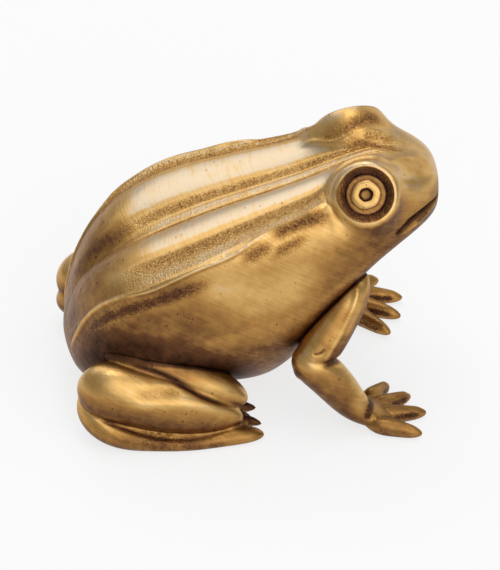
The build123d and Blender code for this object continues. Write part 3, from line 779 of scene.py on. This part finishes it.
for side, name in SIDES.items():
    wrist, palm = HANDS[side]
    limbs = [limb(SHOULDER_TIP, UPPER_ARM, ELBOW_TIP),
             limb(FOREARM_TIP, FOREARM + HANDS[side], (palm[0] + PALM_REACH, palm[1], TIP_UP))]
    for (ahead, beside), fingertip in zip(FINGER_ROOTS, FINGERTIPS[side]):
        knuckle = (wrist[0] + ahead, wrist[1] + beside, wrist[2])
        limbs.append(digit(knuckle, (*fingertip, TIP_UP), FINGER, FINGER_SWELL))
    arms[side] = fuse(f"arm_{name}", limbs, side, ARM_VOXEL, ARM_RELAX)

# %% Hind legs with feet and toes
HIND_LIMBS = {
    "thigh": ((-56, 28, 31.5), [(-47, 31, 30, 5.4, 5.4), (-34, 33.5, 25.2, 7.4, 7.4),
              (-21, 35.2, 19.6, 7.6, 7.6), (-11.5, 36.2, 15.2, 5.6, 5.6)], (-5.5, 36.6, 12.2)),
    "shank": ((-66, 32.5, 22.4), [(-61, 34, 21.2, 8, 9.2), (-48, 36.6, 18.4, 10.4, 11.6),
              (-35, 38.2, 15.2, 10.4, 11.4), (-21, 39.4, 11, 8.4, 9), (-12.5, 40, 8, 5, 5.4)],
              (-7.5, 40.2, 6.4)),
    "foot": ((-63, 31, 19), [(-62, 34.6, 12, 4.8, 5), (-55, 39.4, 6.2, 6.6, 5.6),
             (-42, 42.2, 3, 6.4, 4.2), (-28, 43.2, 2.4, 6.7, 3.6), (-15, 43.4, 2.4, 5.4, 3.4),
             (-6, 43.4, 2.2, 4.0, 2.8)], (-0.2, 43.4, 1.5)),
    "web": ((-36, 36, 2.6), [(-28, 36, 2.6, 6, 3.2), (-14, 35.4, 2.4, 8, 3.2), (-7, 35, 2, 6, 2.4)],
            (-3, 35, 1.6)),
}
TOE, TOE_TIP_UP = 2.7, 1.6
TOE_ROOTS, TOETIPS = [(-14, 31.5, 3), (-14, 25.5, 2.8)], [(-0.4, 37), (-1.2, 27)]
TOE_SWELL = ((0.3, 1.0), (0.6, 0.85), (0.85, 0.5))
HIND_VOXEL, HIND_RELAX = 0.42, 2
hinds = {}
for side, name in SIDES.items():
    limbs = [limb(*places) for places in HIND_LIMBS.values()]
    limbs += [digit(root, (*toetip, TOE_TIP_UP), TOE, TOE_SWELL) for root, toetip in zip(TOE_ROOTS, TOETIPS)]
    hinds[side] = fuse(f"hind_leg_{name}_cast", limbs, side, HIND_VOXEL, HIND_RELAX)

# %% [markdown]
# ## Creases and trimming of the legs
# The remeshed legs get strokes of their own. Then each leg is trimmed by the body, grown by the seam's
# width, so that an open dark line is left between the two castings.

# %% Strokes on the arms
ARM_STROKES = {
    "crest of the upper arm": Stroke(
        [(35.2, 29.9, 55.3), (34.4, 33.4, 52.1), (33, 35.7, 49), (30.6, 38, 45.3), (27.8, 40.2, 40.9),
         (24.2, 42.4, 36.1), (20.9, 44, 30.5)],
        1.3, 0.7, taper=0.12),
    "crease of the elbow": Stroke(
        [(20.6, 44.3, 30.1), (23.2, 43, 30.2), (26.5, 39.8, 29.1), (27, 35, 28.5)],
        1.3, -0.8, patina=0.65, grain=0.3, taper=0.25),
    "nick above the elbow": Stroke(
        [(17, 42.4, 34.7), (19.3, 43.1, 34.7), (21.3, 42.7, 36), (21.9, 42.4, 36.9)],
        0.45, -0.3, patina=0.45),
    "brown upper arm": Stroke([(32, 34, 51), (25.8, 38.9, 44.1), (19, 43, 33)], 4.0, 0.0, patina=0.22),
    "brown forearm": Stroke([(16, 44, 30), (23.1, 46.3, 23.2), (33, 46, 12)], 6.0, 0.0, patina=0.26),
    # Painted highlight on the arm's shoulder.
    "painted highlight on the shoulder": Stroke([(35, 32, 52), (33.3, 36.8, 46.3), (28, 40, 38)], 2.4, 0.0, rub=0.5),
    "band at the wrist": Stroke(
        [(41.5, 30, 7.5), (40.2, 35, 9.2), (38.6, 40, 9.6), (37.2, 44.5, 8.4), (36, 46.8, 6.2)],
        1.9, -0.35, patina=0.85, grain=1.0, taper=0.12),
}
SCOOP_DARK = (0.2, 1.0, 1.0, 0.8)
FINGER_RUN, FINGER_TOP, SCOOP_SIDE, SCOOP_UP = (0.3, 0.95), 2.4, 2.5, 0.6


def finger_strokes(side):
    """A crest along the top of every finger and a rough scoop along the side that turns to the frog's
    right."""
    wrist = np.array(HANDS[side][0][:3])
    strokes = {}
    for number, (beside, reach) in enumerate(zip(FINGER_ROOTS, FINGERTIPS[side])):
        root, dark = wrist + [*beside, 0], SCOOP_DARK[number]
        run = np.array([*reach, TIP_UP]) - root
        across = np.array([-run[1], run[0], 0]) / np.hypot(run[0], run[1])
        line = root + run * np.linspace(*FINGER_RUN, 4)[:, None]
        hollow = line - SCOOP_SIDE * side * across + [0, 0, SCOOP_UP]
        strokes[f"crest of finger {number}"] = Stroke(line + [0, 0, FINGER_TOP], 0.9, 0.35, taper=0.15)
        strokes[f"scoop of finger {number}"] = Stroke(hollow, 1.5, -0.5 * dark, 0.75 * dark, dark, 0.3)
    return strokes


print("on each arm:", ", ".join(ARM_STROKES | finger_strokes(RIGHT)))

# %% Strokes on the hind legs
HIND_STROKES = {
    "dip beside the crest": Stroke(
        [(-48.5, 45.6, 24.1), (-42.3, 45.7, 24.2), (-35.7, 44.8, 24.3), (-28.7, 43, 23.7)],
        2.2, -0.6, patina=0.15, grain=0.3),
    # Its rub is worn brass and also a painted highlight along the shank's top.
    "crest of the shank": Stroke(
        [(-56, 43, 21.8), (-41.4, 47.3, 20.8), (-31.7, 47.2, 20.3), (-21.1, 46.1, 17.3), (-8.7, 41.6, 9.9)],
        2.4, 0.6, rub=0.6),
    "brown edge of the foot": Stroke(
        [(-62, 38, 10), (-50, 45, 5), (-34, 49, 3), (-18, 49, 2), (-4, 46, 2)],
        5.0, 0.0, patina=0.5, grain=0.3),
    "dark middle toe": Stroke([(-12, 31.5, 5), (2, 38, 2)], 4.0, 0.0, patina=0.8, grain=0.4, taper=0.1),
    "dark inner toe": Stroke([(-12, 25.5, 5), (2, 27.4, 2)], 4.0, 0.0, patina=0.8, grain=0.4, taper=0.1),
    "crease under the thigh": Stroke(
        [(-52.4, 33.6, 31.3), (-43.5, 38, 30.6), (-35.2, 40.3, 27.9), (-27.2, 42.8, 23.3),
         (-20.9, 44.1, 19.4), (-10, 41.5, 12.5)],
        1.1, -0.5, patina=0.8, grain=0.3),
    "crease above the foot": Stroke(
        [(-65.3, 39, 20), (-57.8, 42.3, 12.1), (-47.5, 44.9, 7.9), (-34.7, 47.3, 5.2), (-21.3, 47, 4.7),
         (-11.4, 44.1, 6.8)],
        1.0, -0.5, patina=0.65, grain=0.5),
    "outer gap of the toes": Stroke(
        [(-12, 43.5, 5.2), (-7.9, 43.7, 4.7), (-3, 40.5, 3)], 0.8, -0.6, patina=0.8, grain=0.5),
    "inner gap of the toes": Stroke(
        [(-12, 36, 5.5), (-5.1, 34, 4.2), (-1, 32, 2)], 0.9, -0.6, patina=0.8, grain=0.5),
}
print("on each hind leg:", ", ".join(HIND_STROKES))

# %% Flat soles and open seams
SEAM, NEIGHBOUR_COLUMNS = 0.3, 150


def finish_leg(piece, side, strokes):
    """Carve the strokes, press the soles flat on the ground and cut the leg clear of the grown body."""
    points = vertex_array(piece.data) / MM
    bare = [np.zeros(len(points))] * 3
    points, layers = carve(points, vertex_array(piece.data, "normal"), bare, strokes, [side])
    points[:, 2] = np.maximum(points[:, 2], 0)
    piece.data.vertices.foreach_set("co", (points * MM).astype(np.float32).ravel())
    for layer, values in zip(("patina", "grain", "burnish"), layers):
        set_layer(piece.data, layer, values)
    grown = body_rings(NEIGHBOUR_COLUMNS, SEAM, relief=False)[0]
    ends = (np.array(end) * [1 + SEAM / abs(end[0]), 1, 1] for end in (tail, nose))
    return cut(piece, add_piece("neighbour", closed_tube("neighbour", grown, *ends)))


for side in SIDES:
    finish_leg(arms[side], side, ARM_STROKES | finger_strokes(side))
    finish_leg(hinds[side], side, HIND_STROKES)
legs = [*arms.values(), *hinds.values()]
print("leg faces:", [len(leg.data.polygons) for leg in legs])

# %% [markdown]
# ## Where patina stays, and where shade and highlights are painted
# Rubbing with a cloth reaches the crests and misses the hollows. So every vertex is compared with the
# average of its neighbourhood: if the average lies outside the surface, the place is hollow. Shade is also
# painted into the colour near another casting, and a small geometry node tree measures that nearness.

# %% Nodes, and the distance between castings
def fill(made, **settings):
    """Give a node its settings. A socket is linked to the input of that name, with _ for a space; another
    value is set on the input, or on the node itself where no input has the name."""
    for name, value in settings.items():
        socket = made.inputs.get(name.replace("_", " "))
        if isinstance(value, bpy.types.NodeSocket):
            made.id_data.links.new(value, socket)
        elif socket is not None:
            socket.default_value = value
        else:
            setattr(made, name, value)
    return made


def node(tree, kind, **settings):
    return fill(tree.nodes.new(kind), **settings)


def distance_to(piece, others):
    """Geometry nodes: the distance in mm from every vertex to the nearest face of the other pieces."""
    tree = bpy.data.node_groups.new("near", "GeometryNodeTree")
    for flow in ("INPUT", "OUTPUT"):
        tree.interface.new_socket("Geometry", in_out=flow, socket_type="NodeSocketGeometry")
    join = node(tree, "GeometryNodeJoinGeometry")
    for other in others:
        fill(join, Geometry=node(tree, "GeometryNodeObjectInfo", Object=other).outputs["Geometry"])
    near = node(tree, "GeometryNodeProximity", target_element="FACES")
    tree.links.new(join.outputs["Geometry"], near.inputs[0])
    keep = node(tree, "GeometryNodeStoreNamedAttribute", data_type="FLOAT", domain="POINT", Name="near",
                Geometry=node(tree, "NodeGroupInput").outputs["Geometry"], Value=near.outputs["Distance"])
    node(tree, "NodeGroupOutput", Geometry=keep.outputs["Geometry"])
    piece.modifiers.new("near", "NODES").node_group = tree
    settle(piece)
    bpy.data.node_groups.remove(tree)
    distance = get_layer(piece.data, "near") / MM
    piece.data.attributes.remove(piece.data.attributes["near"])
    return distance


# %% Painted shade above the hind legs
HIND_LEG_SHADE, HIND_LEG_SHADE_RUN = 0.74, (2.0, 20.0)
# Painted shade: the body darkens within 20 mm of the hind legs.
crease = HIND_LEG_SHADE * (1 - ease(*HIND_LEG_SHADE_RUN, distance_to(body, hinds.values())))
set_layer(body.data, "patina", np.maximum(get_layer(body.data, "patina"), crease))
print("the crease darkens", int((crease > 0).sum()), "points")

# %% Hollows and crests
HOLLOW_ROUNDS = 40


def hollowness(mesh):
    """Average the points with their neighbours a number of times; the shift along the normal, in mm, is
    positive in hollows and negative on crests."""
    points = vertex_array(mesh) / MM
    edges = np.empty(len(mesh.edges) * 2, np.int32)
    mesh.edges.foreach_get("vertices", edges)
    one, two = edges.reshape(-1, 2).T
    size = len(points)
    count = np.maximum(np.bincount(np.concatenate([one, two]), minlength=size), 1)[:, None]
    soft = points
    for step in range(HOLLOW_ROUNDS):
        sums = [np.bincount(one, axis[two], size) + np.bincount(two, axis[one], size) for axis in soft.T]
        soft = 0.5 * soft + 0.5 * np.stack(sums, -1) / count
    return np.einsum("ij,ij->i", soft - points, vertex_array(mesh, "normal"))


# %% Patina, burnish, painted shade and painted highlights of every casting
# Painted shade darkens the colour near other castings, near the ground and on what faces down; a painted
# highlight lightens what faces up.
TOUCHING, SHADE_REACH, JOINT_SHADE = 0.3, 5.0, 0.75
HOLLOW_DARK, HOLLOW_MM = 0.35, (0.08, 0.4)
SOLE_SHADE, SOLE_MM, GROUND_SHADE, FOOT_MM = 0.45, (0.3, 3.0), 0.3, (4, 16)
DOWN_TILT, UP_TILT = (-0.3, 0.45), (0.05, 0.5)
CREST_BRIGHT, TOP_HIGHLIGHT, PATINA_AND_SHADE_DULL = 0.6, 0.55, 0.8
WearAndShade = namedtuple("WearAndShade", "reach shade wash crest")


def weather_and_paint_light(piece, others, wear_and_shade):
    """Patina and painted shade are the strongest of what was carved, a dark joint within reach of the others
    and painted shade a little beyond it, patina in hollows, and painted shade close to the ground and on what
    faces down. Crests and polished bands are burnished, what faces up gets a painted highlight, and both dull
    where it is dark."""
    near = distance_to(piece, others)
    mesh = piece.data
    hollow = hollowness(mesh)
    height = vertex_array(mesh)[:, 2] / MM
    facing = vertex_array(mesh, "normal")[:, 2]
    rubbed_and_highlighted = get_layer(mesh, "burnish")
    dark = np.maximum.reduce([
        get_layer(mesh, "patina"),
        # Near the other castings: a dark joint with painted shade, and wider painted shade.
        JOINT_SHADE * (1 - ease(TOUCHING, wear_and_shade.reach, near)),
        wear_and_shade.shade * (1 - ease(wear_and_shade.reach, wear_and_shade.reach + SHADE_REACH, near)),
        HOLLOW_DARK * ease(*HOLLOW_MM, hollow),
        # Painted shade close to the ground.
        SOLE_SHADE * (1 - ease(*SOLE_MM, height)),
        GROUND_SHADE * (1 - ease(*FOOT_MM, height)),
        # Painted shade on what faces down.
        wear_and_shade.wash * (1 - ease(*DOWN_TILT, facing)) * (1 - rubbed_and_highlighted),
    ])
    bright = np.maximum.reduce([
        rubbed_and_highlighted,
        CREST_BRIGHT * ease(wear_and_shade.crest, 3 * wear_and_shade.crest, -hollow),
        # Painted highlight on what faces up.
        TOP_HIGHLIGHT * ease(*UP_TILT, facing),
    ])
    set_layer(mesh, "patina", dark)
    set_layer(mesh, "burnish", bright * (1 - PATINA_AND_SHADE_DULL * dark))
    print(piece.name, "patina mean:", round(float(dark.mean()), 2))


for pieces, wear_and_shade in ((eyes, WearAndShade(0.7, 0.0, 0.0, 0.08)), (arms, WearAndShade(1.8, 0.12, 0.36, 0.08)),
                     (hinds, WearAndShade(2.8, 0.3, 0.36, 0.08))):
    for piece in pieces.values():
        weather_and_paint_light(piece, [body], wear_and_shade)
weather_and_paint_light(body, legs, WearAndShade(1.8, 0.5, 0.45, 0.2))

# %% [markdown]
# ## The brass
# One material serves all castings. Its colour runs from rubbed gold, paled to cream as a painted sheen,
# through brown to nearly black by the patina attribute, which also holds painted shade, broken up by noise.
# The burnish attribute, which also holds painted highlights, brings it back to the pale gold. Grain, pits and
# brush marks are bumps at their real size, because they are far smaller than the mesh.

# %% Sums of sockets and numbers
def maths(tree, operation, one, two):
    made = node(tree, "ShaderNodeMath", operation=operation)
    for socket, value in zip(made.inputs, (one, two)):
        if isinstance(value, (int, float)):
            socket.default_value = value
        else:
            tree.links.new(value, socket)
    return made.outputs[0]


def times(tree, one, two):
    return maths(tree, "MULTIPLY", one, two)


def total(tree, *values):
    """Sum of sockets and numbers."""
    result = values[0]
    for value in values[1:]:
        result = maths(tree, "ADD", result, value)
    return result


def swing(tree, value, amount):
    """(value - 0.5) * amount, to add a noise without shifting the mean."""
    return times(tree, maths(tree, "SUBTRACT", value, 0.5), amount)


# %% Noise, colours and materials
def noise(tree, place, scale, detail):
    made = node(tree, "ShaderNodeTexNoise", Vector=place, Scale=scale, Detail=detail, Roughness=0.55)
    return made.outputs["Fac"]


def stretched(tree, place, size, turn):
    """Coordinates for a noise whose spots have the given sizes along axes that are turned first."""
    made = node(tree, "ShaderNodeMapping", vector_type="TEXTURE", Vector=place, Scale=size, Rotation=turn)
    return made.outputs["Vector"]


def ramp(tree, factor, stops):
    made = node(tree, "ShaderNodeValToRGB", Fac=factor)
    marks = made.color_ramp.elements
    for index, (position, colour) in enumerate(stops):
        mark = marks[index] if index < 2 else marks.new(position)
        mark.position, mark.color = position, (*colour, 1)
    return made.outputs["Color"]


def bump(tree, height, strength, distance):
    made = node(tree, "ShaderNodeBump", Height=height, Strength=strength, Distance=distance)
    return made.outputs["Normal"]


def new_material(name, **settings):
    """A material whose main shader has the given settings, with its node tree and that shader."""
    material = bpy.data.materials.new(name)
    material.use_nodes = True
    shader = fill(material.node_tree.nodes["Principled BSDF"], **settings)
    return material, material.node_tree, shader


# %% Antique brass
# The palest colour is rubbed brass paled to cream, a painted sheen.
RUBBED_SHEEN, BRIGHT, GOLD = (0.68, 0.54, 0.37), (0.68, 0.42, 0.145), (0.44, 0.23, 0.065)
BROWN, DARK = (0.14, 0.059, 0.025), (0.024, 0.011, 0.007)
BRASS_TONES = [(0.0, RUBBED_SHEEN), (1.0, DARK), (0.14, BRIGHT), (0.34, GOLD), (0.62, BROWN)]
PLAIN_TONE, PIT_TONE, ROUGHNESS = 0.3, 0.22, (0.34, 0.5)
SAND_SCALE, BLOTCH_SCALE, CLOUD_SCALE = 1500, 300, 50
STREAK_SIZE, STREAK_TURN = (0.0007, 0.012, 0.012), (0, -1.04, 0)
PIT_SIZE, PIT_TURN, PIT_FEWNESS, PIT_WIDTH = (0.0018, 0.0036, 0.0028), (0.5, 0.4, 0.3), 0.62, 0.5


def cast_pits(tree, place):
    """1 inside a pit: closer to a cell's middle than its limit, which is above zero in some cells only."""
    cells = node(tree, "ShaderNodeTexVoronoi", Vector=stretched(tree, place, PIT_SIZE, PIT_TURN), Scale=1.0)
    chosen = node(tree, "ShaderNodeSeparateColor", Color=cells.outputs["Color"])
    limit = times(tree, maths(tree, "SUBTRACT", chosen.outputs["Red"], PIT_FEWNESS), PIT_WIDTH)
    return maths(tree, "LESS_THAN", cells.outputs["Distance"], limit)


def antique_brass():
    """A tone from 0, pale gold with a painted sheen, to 1, dark, gives colour and roughness. Patina and
    painted shade raise it, burnish and painted highlights lower it, and a relief of the same noises is the
    bump."""
    material, tree, shader = new_material("antique_brass", Metallic=1.0)
    place = node(tree, "ShaderNodeTexCoord").outputs["Object"]
    patina, grain, burnish = (node(tree, "ShaderNodeAttribute", attribute_name=name).outputs["Fac"]
                              for name in ("patina", "grain", "burnish"))
    sand = noise(tree, place, SAND_SCALE, 2.0)
    blotch = noise(tree, place, BLOTCH_SCALE, 3.0)
    cloud = noise(tree, place, CLOUD_SCALE, 2.0)
    streak = noise(tree, stretched(tree, place, STREAK_SIZE, STREAK_TURN), 1.0, 3.0)
    pit = cast_pits(tree, place)
    # The patina attribute darkens the tone; it holds painted shade as well as patina.
    stain_and_shade = times(tree, patina, total(tree, 0.8, swing(tree, blotch, 0.45)))
    speck = times(tree, grain, total(tree, -0.06, swing(tree, sand, 1.05)))
    # The burnish attribute lightens it; it holds painted highlights as well as rubbed wear.
    polish_and_highlight = times(tree, burnish, total(tree, -PLAIN_TONE, swing(tree, streak, 0.12)))
    uneven = [swing(tree, cloud, 0.25), swing(tree, streak, 0.16), swing(tree, blotch, 0.14)]
    tone = total(tree, PLAIN_TONE, stain_and_shade, speck, polish_and_highlight, *uneven, times(tree, pit, PIT_TONE))
    tone = maths(tree, "MAXIMUM", tone, 0.0)
    low, high = ROUGHNESS
    rough = node(tree, "ShaderNodeMapRange", Value=tone, To_Min=low, To_Max=high).outputs["Result"]
    bumps = [times(tree, streak, 0.09), times(tree, blotch, 0.12), times(tree, pit, -0.4)]
    relief = total(tree, times(tree, sand, total(tree, 0.06, grain)), *bumps)
    colour = ramp(tree, tone, BRASS_TONES)
    fill(shader, Base_Color=colour, Roughness=rough, Normal=bump(tree, relief, 0.8, 0.0007))
    return material


brass = antique_brass()
print("brass nodes:", len(brass.node_tree.nodes))

# %% Plain metals for the hidden fittings
WORN_SHARE, WORN_STOPS = 0.7, (0.35, 0.7)


def plain_metal(name, colour, scale, roughness):
    """One colour that a noise darkens in places, with the same noise as a faint bump."""
    material, tree, shader = new_material(name, Metallic=1.0, Roughness=roughness)
    mark = noise(tree, node(tree, "ShaderNodeTexCoord").outputs["Object"], scale, 4.0)
    worn = tuple(WORN_SHARE * value for value in colour)
    tone = ramp(tree, mark, zip(WORN_STOPS, (colour, worn)))
    fill(shader, Base_Color=tone, Normal=bump(tree, mark, 0.3, 0.0002))
    return material


fittings = {
    "belly_plate": plain_metal("plate_brass", (0.5, 0.34, 0.14), 400, 0.4),
    "belly_plate_screws": plain_metal("screw_brass", (0.58, 0.42, 0.2), 700, 0.3),
    "leg_screws": plain_metal("screw_steel", (0.5, 0.5, 0.5), 700, 0.35),
    "leg_washers": plain_metal("washer_steel", (0.55, 0.55, 0.55), 700, 0.35),
}
for name, material in fittings.items():
    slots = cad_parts[name].data.materials
    slots.clear()
    slots.append(material)
print("fittings:", ", ".join(fittings))

# %% [markdown]
# ## Putting the pieces on the frame
# Each casting stands for its CAD node and rides on the one body that this ornament has. Filed edges stay
# crisp because faces that meet at more than an angle are shaded apart.

# %% Dress, ride and replace
SHARP_EDGE = radians(38)
STANDS_FOR = {body: "body_shell", eyes[RIGHT]: "eye_right", eyes[LEFT]: "eye_left",
              arms[RIGHT]: "front_leg_right", arms[LEFT]: "front_leg_left",
              hinds[RIGHT]: "hind_leg_right", hinds[LEFT]: "hind_leg_left"}
for piece, stood_for in STANDS_FOR.items():
    piece.data.materials.clear()
    piece.data.materials.append(brass)
    piece.data.shade_smooth()
    piece.data.set_sharp_from_angle(angle=SHARP_EDGE)
    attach(piece, "root")
    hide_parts(stood_for)
print("castings:", ", ".join(piece.name for piece in STANDS_FOR))

# %% [markdown]
# ## Floor, light and camera
# The photo has a white ground. The floor is a pale matt sheet, and what the camera and the reflections see
# of it is mostly a plain white, so that the lamps need not be bright. The part that stays matt keeps the
# frog's shadow.

# %% Floor
FLOOR_HALF, FLOOR_WHITE, FLOOR_GREY = 8.0, 0.75, (0.92, 0.92, 0.92, 1)
floor_mesh = bpy.data.meshes.new("floor")
corners = np.array([(-1, -1, 0), (1, -1, 0), (1, 1, 0), (-1, 1, 0)]) * FLOOR_HALF
floor_mesh.from_pydata(corners, [], [(0, 1, 2, 3)])
floor = add_piece("floor", floor_mesh)
floor_paint, tree, matt = new_material("floor", Base_Color=FLOOR_GREY, Roughness=0.9, Specular_IOR_Level=0.1)
rays = node(tree, "ShaderNodeLightPath").outputs
mirrored = maths(tree, "MAXIMUM", rays["Is Glossy Ray"], rays["Is Transmission Ray"])
seen = maths(tree, "MAXIMUM", rays["Is Camera Ray"], mirrored)
white = node(tree, "ShaderNodeEmission")
blend = node(tree, "ShaderNodeMixShader")
sources = (times(tree, seen, FLOOR_WHITE), matt.outputs[0], white.outputs[0])
for source, socket in zip(sources, blend.inputs):
    tree.links.new(source, socket)
fill(tree.nodes["Material Output"], Surface=blend.outputs[0])
floor_mesh.materials.append(floor_paint)
print("floor:", 2 * FLOOR_HALF, "m wide")

# %% Light
WORLD_GREY = (0.36, 0.36, 0.36, 1)
LAMP_AIM = np.array([0, 0, 0.05])
Softbox = namedtuple("Softbox", "place size power")
SOFTBOXES = {
    "back_softbox": Softbox((-0.35, 1.3, 1.3), 1.7, 8.5),
    "front_softbox": Softbox((0.35, -1.3, 1.05), 2.2, 16),
    "top_softbox": Softbox((-0.05, 0.2, 1.75), 0.85, 6),
    "side_softbox": Softbox((1.2, 0.95, 0.75), 1.4, 3.0),
}


def direction_angles(run):
    """Euler turn that points a lamp's or camera's -Z along run."""
    flat = np.hypot(run[0], run[1])
    return (np.arctan2(flat, -run[2]), 0, np.arctan2(run[1], run[0]) - np.pi / 2)


scene = bpy.context.scene
scene.view_settings.view_transform = "Standard"
scene.world = bpy.data.worlds.new("studio")
scene.world.use_nodes = True
scene.world.node_tree.nodes["Background"].inputs["Color"].default_value = WORLD_GREY
for name, softbox in SOFTBOXES.items():
    lamp = bpy.data.lights.new(name, "AREA")
    lamp.shape, lamp.size, lamp.energy = "DISK", softbox.size, softbox.power
    lamp_object = add_piece(name, lamp)
    lamp_object.location = softbox.place
    lamp_object.rotation_euler = direction_angles(LAMP_AIM - softbox.place)
print("lamps:", ", ".join(SOFTBOXES))

# %% Camera
CAMERA_AZIMUTH, CAMERA_ELEVATION, CAMERA_DISTANCE = radians(-7), radians(35), 4.0
IMAGE_HEIGHT, MM_PER_PIXEL, SENSOR, FAR_CLIP = 570, 0.36, 36, 100
AIM = np.array([0, 0, 0.03665])
level = cos(CAMERA_ELEVATION)
back = np.array([sin(CAMERA_AZIMUTH) * level, -cos(CAMERA_AZIMUTH) * level, sin(CAMERA_ELEVATION)])
camera_data = bpy.data.cameras.new("camera")
camera_data.sensor_width = SENSOR
camera_data.lens = SENSOR * CAMERA_DISTANCE / (IMAGE_HEIGHT * MM_PER_PIXEL * MM)
camera_data.clip_end = FAR_CLIP
camera = add_piece("camera", camera_data)
camera.location = AIM + CAMERA_DISTANCE * back
camera.rotation_euler = direction_angles(-back)
scene.camera = camera
print("lens:", round(camera_data.lens), "mm")
